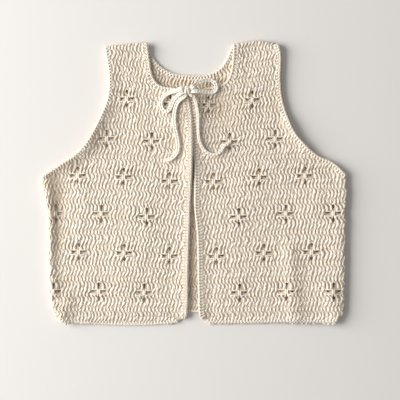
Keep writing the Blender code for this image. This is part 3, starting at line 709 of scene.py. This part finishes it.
def flower_middles(panel):
    return [stitch_place(panel, row, column) for row, column in flower_cells(panel)]


# ---- yarn

UNDERSIDE_SHADE = 0.30  # painted shade on the underside of a yarn
SHARP_EDGE = 50.0  # degrees at which a shell's edge is shaded as sharp


class Yarn:
    """Collects tubes of yarn for one mesh."""

    def __init__(self):
        self.points = []
        self.shade_and_tint = []
        self.faces = []
        self.count = 0

    def tubes(self, paths, outs, half_width, half_height, sides, depth=0.0):
        """Tubes along many paths at once; the last two axes of paths are rings and XYZ."""
        count, rings = paths.shape[:2]
        along = unit(np.gradient(paths, axis=1))
        across = unit(np.cross(along, outs))
        up = np.cross(across, along)
        turn = (np.arange(sides) + 0.5) * 2 * math.pi / sides
        wide = np.broadcast_to(half_width, (count, rings))[..., None, None]
        high = np.broadcast_to(half_height, (count, rings))[..., None, None]
        rim = (paths[:, :, None]
               + across[:, :, None] * np.cos(turn)[:, None] * wide
               + up[:, :, None] * np.sin(turn)[:, None] * high)
        self.points.append(rim.reshape(-1, 3))
        # Painted shade on each ring's underside, added to the tube's own share of painted shade and
        # tint.
        underside_shade = UNDERSIDE_SHADE * (1 - np.sin(turn)) / 2
        self.shade_and_tint.append((np.broadcast_to(depth, (count, rings))[..., None] + underside_shade).reshape(-1))
        index = self.count + np.arange(count * rings * sides).reshape(count, rings, sides)
        following = np.roll(index, -1, axis=2)
        quads = np.stack((index[:, :-1], index[:, 1:], following[:, 1:], following[:, :-1]), axis=-1)
        self.faces += quads.reshape(-1, 4).tolist()
        self.faces += index[:, 0].tolist()
        self.faces += index[:, -1, ::-1].tolist()
        self.count += count * rings * sides

    def add(self, points, faces, shade_and_tint):
        self.points.append(points)
        self.shade_and_tint.append(shade_and_tint)
        self.faces += [[self.count + index for index in face] for face in faces]
        self.count += len(points)

    def mesh(self, name, slot, panel=None):
        mesh = bpy.data.meshes.new(name)
        points = np.vstack(self.points)
        if panel in LIFTS:
            points = lifted(points, panel)
        points[:, 2] = np.maximum(points[:, 2], 0.0)
        mesh.from_pydata((points * MM).tolist(), [], self.faces)
        mesh.shade_smooth()
        # The depth attribute holds painted shade and random tint; on the fronts the dips add more
        # painted shade.
        depth = mesh.attributes.new("depth", "FLOAT", "POINT")
        shade_and_tint = np.concatenate(self.shade_and_tint)
        if panel in LIFTS:
            shade_and_tint = shade_and_tint + dimness(panel, points[:, 0], points[:, 1])
        depth.data.foreach_set("value", np.clip(shade_and_tint, 0.0, 1.0).astype(np.float32))
        mesh.materials.append(COTTON[slot])
        item = add_object(name, mesh)
        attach(item, "root")
        return item


# ---- stitches

CHANCE = np.random.default_rng(4)
ROW_PHASES = CHANCE.uniform(0.0, 2 * math.pi, (ROWS, 2))

# How far a stitch sways sideways, in column widths, down a pair of rows
SWAY = np.array((
    (0.00, -0.34), (0.08, -0.32), (0.14, -0.20), (0.20, 0.10), (0.26, 0.32), (0.34, 0.37),
    (0.46, 0.34), (0.54, 0.26), (0.63, 0.06), (0.71, -0.08), (0.80, -0.22), (0.88, -0.32),
    (1.00, -0.34),
))
# Where the rings of a post lie, in shares of its row, with more of them at the sharp bend
ODD_STOPS = (-0.05, 0.18, 0.40, 0.54, 0.68, 0.80, 0.92, 1.05)
EVEN_STOPS = (-0.05, 0.11, 0.26, 0.42, 0.58, 0.74, 0.90, 1.05)
POST_RINGS = 8
POST_SIDES = 5
POST_HALF = 0.88  # half the width of a post's yarn
POST_HIGH = 0.46  # half the height of it
POST_PART = 0.60  # how far apart a post's two yarns run from its middle
POST_RISE = 0.16  # how far one crosses above the other
POST_SWELL = 0.25  # how much wider the upper one is there
POST_SINK = 0.42  # depth of a post's middle below the cloth's surface
POST_TONE = 0.04
ODD_TURN = -0.22  # half turns of the two yarns round each other at the foot of a post
EVEN_TURN = 0.25
END_SINK = 0.55  # how much deeper the very ends of a post lie
SIDE_BULGE = 0.55  # how far a post swells out of a side fold
TUCK = 0.8  # how deep a stitch is tucked in, for each millimetre that it lies in an edging
TUCK_FULL = 2.0  # the most millimetres of that
TUCK_SHADE = 0.35  # and how much painted shade that puts on it
# Where the stitches are drawn in, the yarn is narrower and deeper, and painted with shade
LOOSE_WIDTH = 1.38
TIGHT_PINCH = 0.64
TIGHT_SINK = 0.30
TIGHT_SHADE = 0.75
# How uneven posts are: across, slant, up, height, width, turn and tone
POST_UNEVEN = (0.28, 0.60, 0.55, 0.08, 0.15, 0.80, 0.10)

# The chain between a pair of rows
LUMP_SHARES = (0.80, 0.93, 1.07, 1.20)  # shares of the row's height at a lump's rings
LUMP_HALF = 1.35
LUMP_HIGH = 0.55
LUMP_SINK = 0.75
LUMP_RISE = 0.38
LUMP_UNEVEN = (0.2, 0.2, 0.08)  # across, up and height

# How the stitches of a flower's rows lean to its gaps: which row from the middle one, how many
# columns either side are left out, the lean of the next one, and how far out any lean
FLOWER_LEANS = ((1, 0, 0.35, 4), (-1, 0, 0.45, 4), (0, 2, 1.3, 6))
# A flower draws the rows around it down, most at a height above its middle
SQUEEZE = 2.1
SQUEEZE_UP = 4.2
SQUEEZE_WIDE = 9.0
SQUEEZE_HIGH = 5.5
SQUEEZE_REACH = 25.0
STRAND_STEP = 1.1
STRAND_END = 0.7  # its width at the ends, as a share of the width in the middle
STRAND_HIGH = 0.95  # its height, as a share of its width
STRAND_TONE = 0.05
FLOWER_CLEAR = 6.0  # a flower this near to an edging has no yarns of its own
# Yarns that frame a flower's gaps, on one side of it: half the width, and stops across, up, above
FLOWER_YARNS = (
    (0.80, ((9.8, 1.9, -1.1), (6.6, 1.5, -0.6), (3.6, 1.4, -0.6), (1.4, 2.0, -0.9))),
    (0.90, ((10.2, -4.2, -1.1), (7.6, -3.8, -0.5), (4.8, -3.6, -0.4), (2.2, -4.2, -0.4),
            (0.9, -6.0, -0.9))),
    (1.00, ((1.5, -5.0, -1.0), (0.8, -2.4, -0.35), (0.8, 0.4, -0.35), (1.3, 2.4, -1.0))),
    (0.80, ((2.2, 8.2, -1.1), (1.0, 9.7, -0.7), (-0.6, 10.8, -1.0))),
)


def cycle_of(row, share):
    """How far down a pair of rows a share of a row's height lies, from 0 to 1."""
    return np.mod(np.where(row % 2 == 1, 0.0, 0.5) + 0.5 * (1.0 - share), 1.0)


def sway(row, share):
    """Sideways sway of a stitch at a share of its row's height."""
    return np.interp(cycle_of(row, share), SWAY[:, 0], SWAY[:, 1], period=1.0)


def tightness(row, share):
    """1 where the stitches are drawn in, above and below the chain between a pair of rows."""
    cycle = cycle_of(row, share)
    return np.maximum(np.exp(-((cycle - 0.14) / 0.07) ** 2), np.exp(-((cycle - 0.83) / 0.08) ** 2))


def into_bands(panel, x, y):
    """How far points reach past the panel's cloth into its edgings."""
    most = np.full(np.shape(x), -np.inf)
    for (owner, name), line in EDGES.items():
        width = EDGINGS.get(name.split("_")[0])
        if owner == panel and width is not None:
            most = np.maximum(most, width - edge_distance(line, x, y))
    return most


def beyond_sides(panel, x, y):
    """How far points lie beyond the side folds of a panel."""
    away = [(x - side_x(side, y)) * OUTWARD[side] for side in sides_of(panel)]
    return np.where(y < 0.0, np.max(away, axis=0), -100.0)


def tucked(panel, x, y):
    """How deep stitches are tucked in beside an edging."""
    return np.clip(into_bands(panel, x, y), 0.0, TUCK_FULL) * TUCK


def panel_stitches(panel):
    """Row and column of every stitch that lies on a panel or just past its folds."""
    first, last = {"left": (-47, 3), "right": (-3, 46), "back": (-46, 46)}[panel]
    row, column = (part.ravel()
                   for part in np.meshgrid(np.arange(ROWS), np.arange(first, last + 1)))
    x, y = stitch_place(panel, row, column)
    keep = inside(OUTLINES[panel], x, y) & (into_bands(panel, x, y) < 0.6)
    for side in sides_of(panel):
        past = (x - side_x(side, y)) * OUTWARD[side]
        keep |= ((past > -1.0) & (past < 1.2) & (y < CORNERS[side]["underarm"][1] - 4.0)
                 & (y > CORNERS[side]["hem_side"][1] + 3.0))
        curve = SHOULDER_CURVE[side]
        past = y - np.interp(x, curve[:, 0], curve[:, 1])
        between = (x > curve[0, 0] + 5.0) & (x < curve[-1, 0] - 5.0)
        keep |= between & (past > -5.0) & (past < 2.0)
    return row[keep], column[keep]


def flower_changes(panel, row, column):
    """Which stitches and loops the flowers leave out, and how far the others lean to the gaps."""
    keep = np.ones(row.shape, bool)
    loop = np.ones(row.shape, bool)
    lean = np.zeros(row.shape)
    for middle_row, middle_column in flower_cells(panel):
        away = column - middle_column
        out = np.abs(away)
        for beside, gone, most, reach in FLOWER_LEANS:
            there = (row == middle_row + beside) & (out <= reach)
            keep &= ~(there & (out <= gone))
            lean -= np.where(there & (out > gone),
                             np.sign(away) * most * 0.5 ** (out - gone - 1.0), 0.0)
        loop &= ~(((row == middle_row) | (row == middle_row - 1)) & (away == 0))
    return keep, loop, lean


def squeeze(panel, x, y):
    """How far a flower draws the rows around it down."""
    move = np.zeros(np.shape(x))
    for middle_x, middle_y in flower_middles(panel):
        across = np.exp(-((x - middle_x) / SQUEEZE_WIDE) ** 4)
        up = y - middle_y
        above = -SQUEEZE * np.exp(-((up - SQUEEZE_UP) / SQUEEZE_HIGH) ** 2)
        move += across * np.where(np.abs(up) < SQUEEZE_REACH, above, 0.0)
    return move


def wander(row, column):
    """How far the stitches of a row wander sideways along it."""
    phase = ROW_PHASES[row]
    return 0.26 * np.sin(column / 1.9 + phase[:, 0]) + 0.14 * np.sin(column / 0.8 + phase[:, 1])


def uneven(sizes, count):
    """Random amounts of each of some sizes for so many stitches."""
    chance = np.clip(CHANCE.normal(0.0, 1.0, (len(sizes), count, 1)), -2.0, 2.0)
    return chance * np.array(sizes)[:, None, None]


def post_shares(odd, rings):
    """Shares of its row's height at a post's rings, in odd and in even rows."""
    spread = np.linspace(0, len(ODD_STOPS) - 1, rings)
    places = np.arange(len(ODD_STOPS))
    stops = [np.interp(spread, places, table) for table in (ODD_STOPS, EVEN_STOPS)]
    return np.where(odd, *stops)


def posts(yarn, cloth, row, column, lean, rings, sides, shade=0.0):
    """Double crochets: each a post of two yarns that cross once."""
    panel = cloth.panel
    odd = row[:, None] % 2 == 1
    share = post_shares(odd, rings)
    within = np.sin(math.pi * np.clip(share, 0.0, 1.0))
    level = row[:, None] + share
    x, pitch = column_place(panel, level, column[:, None])
    across, slant, up, height, width, twist, tint = uneven(POST_UNEVEN, len(row))
    x = (x + sway(row[:, None], share) * pitch + lean[:, None] * within
         + wander(row, column)[:, None] + across + slant * (share - 0.5))
    y = row_height(level, x)
    y = y + squeeze(panel, x, y) + up
    tight = tightness(row[:, None], share)
    # Share of painted shade, where stitches are drawn in and inside the back, plus random tint.
    tone = np.clip(POST_TONE + shade + tint + TIGHT_SHADE * tight, 0.0, 1.0)
    tuck = tucked(panel, x, y)
    ends = END_SINK * np.maximum(0.0, np.abs(share - 0.5) - 0.45) / 0.1
    bulge = np.where(beyond_sides(panel, x, y) > -2.0, SIDE_BULGE, 0.0)
    middle = -POST_SINK - tuck - ends + height - TIGHT_SINK * tight + bulge * within
    for strand in (0, 1):
        turn = math.pi * (share + np.where(odd, ODD_TURN, EVEN_TURN) + strand) + twist
        side = np.where(odd, np.cos(turn), -np.cos(turn)) * POST_PART
        swell = 1.0 + POST_SWELL * np.clip(np.sin(turn), 0.0, 1.0) ** 2
        half = POST_HALF * (LOOSE_WIDTH - TIGHT_PINCH * tight) * swell * (1.0 + width)
        paths, outs = cloth.at(x + side, y, middle + POST_RISE * np.sin(turn))
        yarn.tubes(paths, outs, half, POST_HIGH, sides, depth=tone + TUCK_SHADE * tuck)


def lumps(yarn, cloth, row, column):
    """The chain between a pair of rows: a short fat lump at the top of each stitch."""
    share = np.array(LUMP_SHARES)
    level = row[:, None] + share
    x, pitch = column_place(cloth.panel, level, column[:, None])
    across, up, height = uneven(LUMP_UNEVEN, len(row))
    x = x + (sway(row[:, None], 1.0) + 0.05) * pitch + wander(row, column)[:, None] + across
    y = row_height(level, x) + up
    y = y + squeeze(cloth.panel, x, y)
    swell = np.sin(math.pi * (share - 0.65) / 0.7)
    above = -LUMP_SINK + LUMP_RISE * swell + height - tucked(cloth.panel, x, y)
    paths, outs = cloth.at(x, y, above)
    yarn.tubes(paths, outs, LUMP_HALF * (0.55 + 0.45 * swell), LUMP_HIGH, 5, 0.0)


def strand(yarn, cloth, points, half):
    """One strand of yarn through points across, up and above the cloth."""
    line = smooth_line(points, STRAND_STEP)
    paths, outs = cloth.at(line[:, 0], line[:, 1], line[:, 2])
    ends = np.ones(len(line))
    ends[[0, -1]] = STRAND_END
    yarn.tubes(paths[None], outs[None], half * ends, half * STRAND_HIGH * ends, 6, STRAND_TONE)


def flower_yarns(yarn, cloth):
    """The chains and short stitches that frame a flower's gaps."""
    panel = cloth.panel
    for x, y in flower_middles(panel):
        if into_bands(panel, x, y) > -FLOWER_CLEAR or not inside(OUTLINES[panel], x, y):
            continue
        for way in (-1.0, 1.0):
            for half, stops in FLOWER_YARNS:
                strand(yarn, cloth, [(x + way * across, y + up, above)
                                     for across, up, above in stops], half)


# ---- shells

SHELL_SINK = 0.42  # depth of a shell's outer side below the cloth's surface
PETAL_SINK = 0.85  # how much deeper it lies round the petals
BAND_SINK = 0.95  # the same depth in an edging
PETALS_FROM = 2.0  # the petals lie between these distances from a flower's middle
PETALS_TO = 11.0


def shell_of(node, cloth, sink, lift):
    """Corners and faces of a thin shell on the form of a CAD node.

    The outer side sinks into the cloth, and the inner side moves out to meet it.
    """
    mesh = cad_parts[node].data
    corners = np.array([vertex.co for vertex in mesh.vertices]) / MM
    place, _ = cloth.surface(corners[:, 0], corners[:, 1])
    way = np.zeros(corners.shape)
    way[:, 2] = cloth.facing
    depth = (place[:, 2] - corners[:, 2]) * cloth.facing
    for axis, outward, crest, beside in cloth.folds(corners[:, 0], corners[:, 1], slack=3.0):
        past = (corners[:, axis] - crest) * outward
        there = beside & (past > 0)
        around = np.zeros(corners.shape)
        around[:, axis] = past * outward
        around[:, 2] = corners[:, 2] - ROLL
        way = np.where(there[:, None], unit(around), way)
        depth = np.where(there, ROLL - np.linalg.norm(around, axis=1), depth)
    petals = petal_share(cloth.panel, corners[:, 0], corners[:, 1])
    move = np.where(depth < CLOTH / 2, -sink - PETAL_SINK * petals, lift)
    return halved(corners + way * move[:, None], [list(face.vertices) for face in mesh.polygons])


def halved(corners, faces):
    """The same form with every edge cut in half."""
    form = bpy.data.meshes.new("form")
    form.from_pydata(corners.tolist(), [], faces)
    fine = bmesh.new()
    fine.from_mesh(form)
    bmesh.ops.subdivide_edges(fine, edges=fine.edges[:], cuts=1, use_grid_fill=True)
    fine.to_mesh(form)
    fine.free()
    points = np.array([vertex.co for vertex in form.vertices])
    pieces = [list(face.vertices) for face in form.polygons]
    bpy.data.meshes.remove(form)
    return points, pieces


def petal_share(panel, x, y):
    """1 where a flower's petals lie, 0 elsewhere."""
    near = np.zeros(np.shape(x))
    for middle_x, middle_y in flower_middles(panel):
        away = np.hypot(x - middle_x, y - middle_y)
        near = np.maximum(near, (away > PETALS_FROM) & (away < PETALS_TO))
    return near


def make_shell(node, cloth, lift, tone):
    """A panel's shell, painted with shade by the given tone, and in full round the petals."""
    yarn = Yarn()
    corners, faces = shell_of(node, cloth, SHELL_SINK, lift)
    petals = petal_share(cloth.panel, corners[:, 0], corners[:, 1])
    # Painted shade: the shell stands for the shaded depths between the stitches and in the petal holes.
    yarn.add(corners, faces, np.maximum(tone, petals))
    item = yarn.mesh(node + "_cloth", "cotton_cloth", cloth.panel)
    item.data.set_sharp_from_angle(angle=math.radians(SHARP_EDGE))
    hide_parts(node)
    return item


# ---- edgings

BAND_STEP = 0.5  # spacing of the places along an edging
BAND_EVEN = 7  # how many of them either way its direction is evened out over
BAND_PITCH = 3.3  # width of a stitch
BAND_LEAN = 0.9  # how far a stitch leans, one way and then the other
BAND_PART = 0.55  # how far apart its two yarns run from its middle
BAND_DEEP = 0.60  # depth of its middle below the cloth's surface
BAND_RISE = 0.26  # how far one yarn crosses above the other
BAND_HALF = 1.05
BAND_HIGH = 0.85
BAND_TONE = 0.03
BAND_UNEVEN = 0.08  # how much browner some stitches are
BAND_PAST = 0.04  # share of its length by which a stitch passes its ends
BAND_INTO = 0.4  # how far a stitch reaches into the cloth beside the edging
BAND_TUCK = 6.4  # how fast its ends go down
UNDER_BAND_SHADE = 0.85  # painted shade on the shell under the stitches
EYELETS = 0.35  # share of the left band's stitches that pull a small gap open
EYELET_PULL = 0.9  # how far down they go there, and how much painted shade they get
CHAIN_PITCH = 3.6
CHAIN_HALF = 0.80
CHAIN_IN = 0.55  # how far in from the edge the middle of the chain lies
CHAIN_SWING = 0.62  # how far its loops swing either side of that
CHAIN_DEEP = 0.32
CHAIN_SLANT = 0.2
CHAIN_RISE = 0.35  # how far a loop rises along its length
CHAIN_DROP = 0.35  # how far its outer side hangs over the edge
CORE_IN = 0.35  # place and depth of the core that the chain is worked round
CORE_DEEP = 1.7
CORE_STEP = 3.0
# painted shade on the core, which lies deep under the chain
CORE_SHADE = 0.4


def inward_of(panel, name):
    """1 where the cloth lies to the left of an edge's direction and -1 where to its right."""
    line = EDGES[panel, name]
    index = len(line) // 2
    along = line[index + 1] - line[index]
    along = along / np.linalg.norm(along)
    spot = line[index] + np.array((-along[1], along[0])) * 3.0
    return 1.0 if inside(OUTLINES[panel], spot[0], spot[1]) else -1.0


def band_path(panel, names):
    """Places along an edging's outer line, with the way into the cloth there."""
    first, *others = [EDGES[panel, name] for name in names]
    line = resampled(np.vstack((first, *(other[1:] for other in others))), BAND_STEP)
    along = unit(np.gradient(line, axis=0))
    kernel = np.ones(2 * BAND_EVEN + 1) / (2 * BAND_EVEN + 1)
    padded = np.pad(along, ((BAND_EVEN, BAND_EVEN), (0, 0)), mode="edge")
    along = unit(np.column_stack([np.convolve(axis, kernel, "valid") for axis in padded.T]))
    return line, np.stack((-along[:, 1], along[:, 0]), axis=-1) * inward_of(panel, names[0])


def make_band(node, cloth, names, width, rows=1, start=0.0):
    """An edging: rows of short stitches across it, and a chain along its edge."""
    yarn = Yarn()
    corners, faces = shell_of(node, cloth, BAND_SINK, 0.2)
    yarn.add(corners, faces, np.full(len(corners), UNDER_BAND_SHADE))
    line, into = band_path(cloth.panel, names)
    run = np.arange(len(line)) * BAND_STEP

    def spot(place, deep, above):
        place, deep, above = np.broadcast_arrays(place, deep, above)
        x = np.interp(place, run, line[:, 0]) + np.interp(place, run, into[:, 0]) * deep
        y = np.interp(place, run, line[:, 1]) + np.interp(place, run, into[:, 1]) * deep
        return cloth.at(x, y, above)

    count = int((run[-1] - start) / BAND_PITCH)
    starts = start + (np.arange(count)[:, None] + 0.5) * (run[-1] - start) / count
    high = width / rows
    darker = BAND_UNEVEN * np.abs(CHANCE.normal(0.0, 1.0, (count, 1)))
    tight = CHANCE.random(count)[:, None] < (EYELETS if node == "band_front_left" else 0.0)
    share = np.linspace(-BAND_PAST, 1 + BAND_PAST, 6)
    for level in range(rows):
        lean = -BAND_LEAN if level % 2 else BAND_LEAN
        deep = width + BAND_INTO - level * high - share * (high + 0.1)
        pulled = EYELET_PULL * tight * np.clip(1.0 - share / 0.45, 0.0, 1.0) * (level == 0)
        for strand_turn in (0.0, math.pi):
            turn = math.pi * share + strand_turn
            place = starts + lean * (share - 0.5) + BAND_PART * np.cos(turn) * np.sign(lean)
            above = -BAND_DEEP + BAND_RISE * np.sin(turn) - BAND_TUCK * np.abs(share - 0.5) ** 4
            paths, outs = spot(place, deep, above - pulled)
            half = BAND_HALF * (1 + 0.1 * np.clip(np.sin(turn), 0, 1))
            yarn.tubes(paths, outs, half, BAND_HIGH, 5, BAND_TONE + darker + pulled)
    edge_chain(yarn, spot, start, run[-1])
    item = yarn.mesh(node + "_yarn", "cotton_edging", cloth.panel)
    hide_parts(node)
    return item


def edge_chain(yarn, spot, start, end):
    """A chain of loops that rolls over the outer edge of an edging."""
    count = int((end - start) / CHAIN_PITCH)
    pitch = (end - start) / count
    base = start + np.arange(count)[:, None] * pitch
    share = np.linspace(-0.15, 1.15, 6)
    swing = np.sin(math.pi * np.clip(share * 0.9, 0, 1))
    for way, drop in ((-1.0, CHAIN_DROP), (1.0, 0.0)):
        deep = CHAIN_IN + way * CHAIN_SWING * swing + CHAIN_SLANT * (share - 0.5)
        above = -CHAIN_DEEP + CHAIN_RISE * (share - 0.5) - drop * swing
        paths, outs = spot(base + share * pitch, deep, above)
        yarn.tubes(paths, outs, CHAIN_HALF, CHAIN_HALF, 5, 0.0)
    place = np.linspace(start, end, int((end - start) / CORE_STEP) + 2)
    paths, outs = spot(place, CORE_IN, -CORE_DEEP)
    yarn.tubes(paths[None], outs[None], CHAIN_HALF, CHAIN_HALF, 5, CORE_SHADE)


# ---- the bow

ALL_CLOTH = tree_of([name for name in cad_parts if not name.startswith("tie_")])[0]
CORD_LINK = 3.4  # length of a link of a cord's chain
LINK_HALF = 1.0  # half the width and half the height of a link's yarn
LINK_HIGH = 0.55
LINK_ABOVE = 0.40  # height of a link above the cord's middle, and how far it rises
LINK_RISE = 0.30
LINK_INSET = 0.95  # how far in from the cord's side a link's outermost middle lies
LAP = 4.0  # over this width left of the middle a cord goes from the left front to the right
CORD_HALF = 2.35  # half the width of a cord, and of the right tail, which hangs tighter
TAUT_HALF = 1.75
KNOT_CORD = 1.9
KNOT_BAND = ((-11.0, 102.6, 10.6), (-8.0, 101.6, 11.2), (-4.4, 100.0, 10.8))
KNOT_RINGS = ((-1.6, 0.75, 3.808), (1.5, -0.6, 3.584))  # shift, tilt and half the length
KNOT_RING_HIGH = 1.9


def cord_height(x, y):
    """How high a cord's middle runs where it lies on what is under and beside it."""
    top = CLOTH
    for turn in np.arange(0, 2 * math.pi, math.pi / 4):
        spot = (x + math.cos(turn) * CORD * 0.6, y + math.sin(turn) * CORD * 0.6, ABOVE_ALL)
        hit = ALL_CLOTH.ray_cast(spot, DOWN)[0]
        if hit is not None:
            top = max(top, hit.z)
    return top + SEAM + CORD_REST + CORD / 2


def knot_leg(angles):
    """Where a cord leaves the knot, and a place a little further along it."""
    turn, rise = (math.radians(angle) for angle in angles)
    way = np.array((math.cos(turn) * math.cos(rise), math.sin(turn) * math.cos(rise),
                    math.sin(rise)))
    reach = 1.0 / math.sqrt(((way / np.array(KNOT_HALF)) ** 2).sum())
    start = np.array(KNOT_MIDDLE) + way * (reach + SEAM)
    return [start, start + way * CORD]


def tie_line(leaves, stops, enters):
    points = knot_leg(leaves)
    for across, up, *given in stops:
        height = given[0] if given else cord_height(across, up)
        points.append((across, up, height))
    if enters is not None:
        points += knot_leg(enters)[::-1]
    line = smooth_line(points, 1.5)
    for point in line:
        point[2] = max(point[2], cord_height(point[0], point[1]))
    line[1:-1, 2] = (line[:-2, 2] + 2 * line[1:-1, 2] + line[2:, 2]) / 4
    return line


def cord_yarn(yarn, line, wide):
    """A crocheted cord: a chain of loops on a core.  Gives its length."""
    run = run_along(line)
    along = unit(np.gradient(line, axis=0))
    across = unit(np.cross(along, (0.0, 0.0, 1.0)))
    out = np.cross(across, along)
    count = int(run[-1] / CORD_LINK)
    pitch = run[-1] / count
    base = np.arange(count)[:, None] * pitch

    def axis_at(values, place):
        return np.stack([np.interp(place, run, axis) for axis in values.T], axis=-1)

    share = np.linspace(-0.2, 1.3, 7)
    place = np.clip(base + share * pitch, 0.0, run[-1])
    swing = 0.55 + 0.45 * np.sin(math.pi * np.clip((share + 0.2) / 1.5, 0, 1))
    for way in (-1.0, 1.0):
        offset = way * (wide - LINK_INSET) * swing
        lift = LINK_ABOVE + LINK_RISE * np.clip(share, 0, 1)
        middle = (axis_at(line, place) + axis_at(across, place) * offset[:, None]
                  + axis_at(out, place) * lift[:, None])
        yarn.tubes(middle, axis_at(out, place), LINK_HALF, LINK_HIGH, 6, 0.0)
    yarn.tubes(line[None], out[None], wide * 0.95, 1.0, 8, 0.0)
    return run[-1]


def make_tie(name, wide):
    line = tie_line(*TIES[name])
    side = np.clip((line[:, 0] + LAP) / LAP, 0.0, 1.0)
    line[:, 2] += (LIFTS["left"](line[:, 0], line[:, 1]) * (1 - side)
                   + LIFTS["right"](line[:, 0], line[:, 1]) * side)
    yarn = Yarn()
    length = cord_yarn(yarn, line, wide)
    item = yarn.mesh(name + "_yarn", "cotton_cord")
    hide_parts(name)


def make_knot():
    """Two turns of cord round the knot, and a stretch that runs through it."""
    yarn = Yarn()
    middle = np.array(KNOT_MIDDLE)
    turn = np.linspace(0, 2 * math.pi, 25)
    for shift, tilt, half in KNOT_RINGS:
        ring = np.column_stack((shift + tilt * np.sin(turn), half * np.sin(turn),
                                KNOT_RING_HIGH * np.cos(turn))) + middle
        yarn.tubes(ring[None], unit(ring - middle)[None], 1.7, 1.0, 8, 0.0)
    cord_yarn(yarn, smooth_line(KNOT_BAND, 1.0), KNOT_CORD)
    item = yarn.mesh("tie_knot_yarn", "cotton_cord")
    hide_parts("tie_knot")


# ---- the vest

SEEN_EDGE = 4.0  # how far under a front's edge the back's inside is stitched
SEEN_MIDDLE = 60.0  # and how far from the middle line
SEEN_ROUND = (9.0, 11.0)  # how far across and up from a flower's middle it is
INSIDE_SHADE = 0.35  # how much more painted shade it gets than the fronts, as it lies under them


def make_front(side):
    """A front's shell, and its stitches and edgings, which are one cloth with it."""
    cloth = CLOTHS[side]
    # The front shells get most of the painted shade colour.
    shell = make_shell("front_" + side, cloth, lift=0.0, tone=0.85)
    row, column = panel_stitches(side)
    keep, loop, lean = flower_changes(side, row, column)
    yarn = Yarn()
    posts(yarn, cloth, row[keep], column[keep], lean[keep], POST_RINGS, POST_SIDES)
    loop &= row % 2 == 1
    lumps(yarn, cloth, row[loop], column[loop])
    flower_yarns(yarn, cloth)
    return shell, [
        yarn.mesh("front_" + side + "_stitches", "cotton_cloth", side),
        make_band("band_front_" + side, cloth, ("neck", "opening"), EDGINGS["opening"], rows=2),
        make_band("armhole_" + side + "_front", cloth, ("armhole",), EDGINGS["armhole"]),
        make_band("hem_" + side, cloth, ("hem",), EDGINGS["hem"], start=EDGINGS["opening"] + SEAM),
    ]


def seen_inside(row, column):
    """Which of the back's stitches show from above, past the fronts or through their gaps."""
    x, y = stitch_place("back", row, column)
    bare = np.ones(row.shape, bool)
    near = np.zeros(row.shape, bool)
    through = np.zeros(row.shape, bool)
    for side in OUTWARD:
        bare &= ~inside(OUTLINES[side], x, y)
        near |= edge_distance(OUTLINES[side], x, y) < SEEN_EDGE
        for middle_x, middle_y in flower_middles(side):
            through |= ((np.abs(x - middle_x) < SEEN_ROUND[0])
                        & (np.abs(y - middle_y) < SEEN_ROUND[1]))
    beside = (bare | near) & (np.abs(x) < SEEN_MIDDLE)
    return (beside | through) & (beyond_sides("back", x, y) < -ROLL)


def make_back():
    """The back's shell, and its stitches and edgings, which are one cloth with it."""
    outer, inner = CLOTHS["back"], CLOTHS["inside"]
    # The back's shell gets the painted shade colour in full.
    shell = make_shell("back", outer, lift=0.75, tone=1.0)
    row, column = panel_stitches("back")
    keep, _, lean = flower_changes("back", row, column)
    yarn = Yarn()
    posts(yarn, outer, row[keep], column[keep], lean[keep], rings=5, sides=4)
    pieces = [yarn.mesh("back_stitches", "cotton_cloth")]
    yarn = Yarn()
    shown = seen_inside(row, column)
    posts(yarn, inner, row[shown], column[shown], np.zeros(shown.sum()), 5, POST_SIDES,
          shade=INSIDE_SHADE)
    pieces.append(yarn.mesh("back_inside_stitches", "cotton_cloth"))
    for side in OUTWARD:
        pieces.append(make_band("armhole_" + side + "_back", outer, ("armhole_" + side,),
                                EDGINGS["armhole"]))
    pieces.append(make_band("band_back_neck", inner, ("neck",), EDGINGS["neck"]))
    pieces.append(make_band("hem_back", inner, ("hem",), EDGINGS["hem"]))
    return shell, pieces


make_camera()
make_light()
make_floor()
BACK, BACK_PIECES = make_back()
LEFT, LEFT_PIECES = make_front("left")
RIGHT, RIGHT_PIECES = make_front("right")
for TIE in TIES:
    make_tie(TIE, TAUT_HALF if TIE == "tie_tail_right" else CORD_HALF)
make_knot()
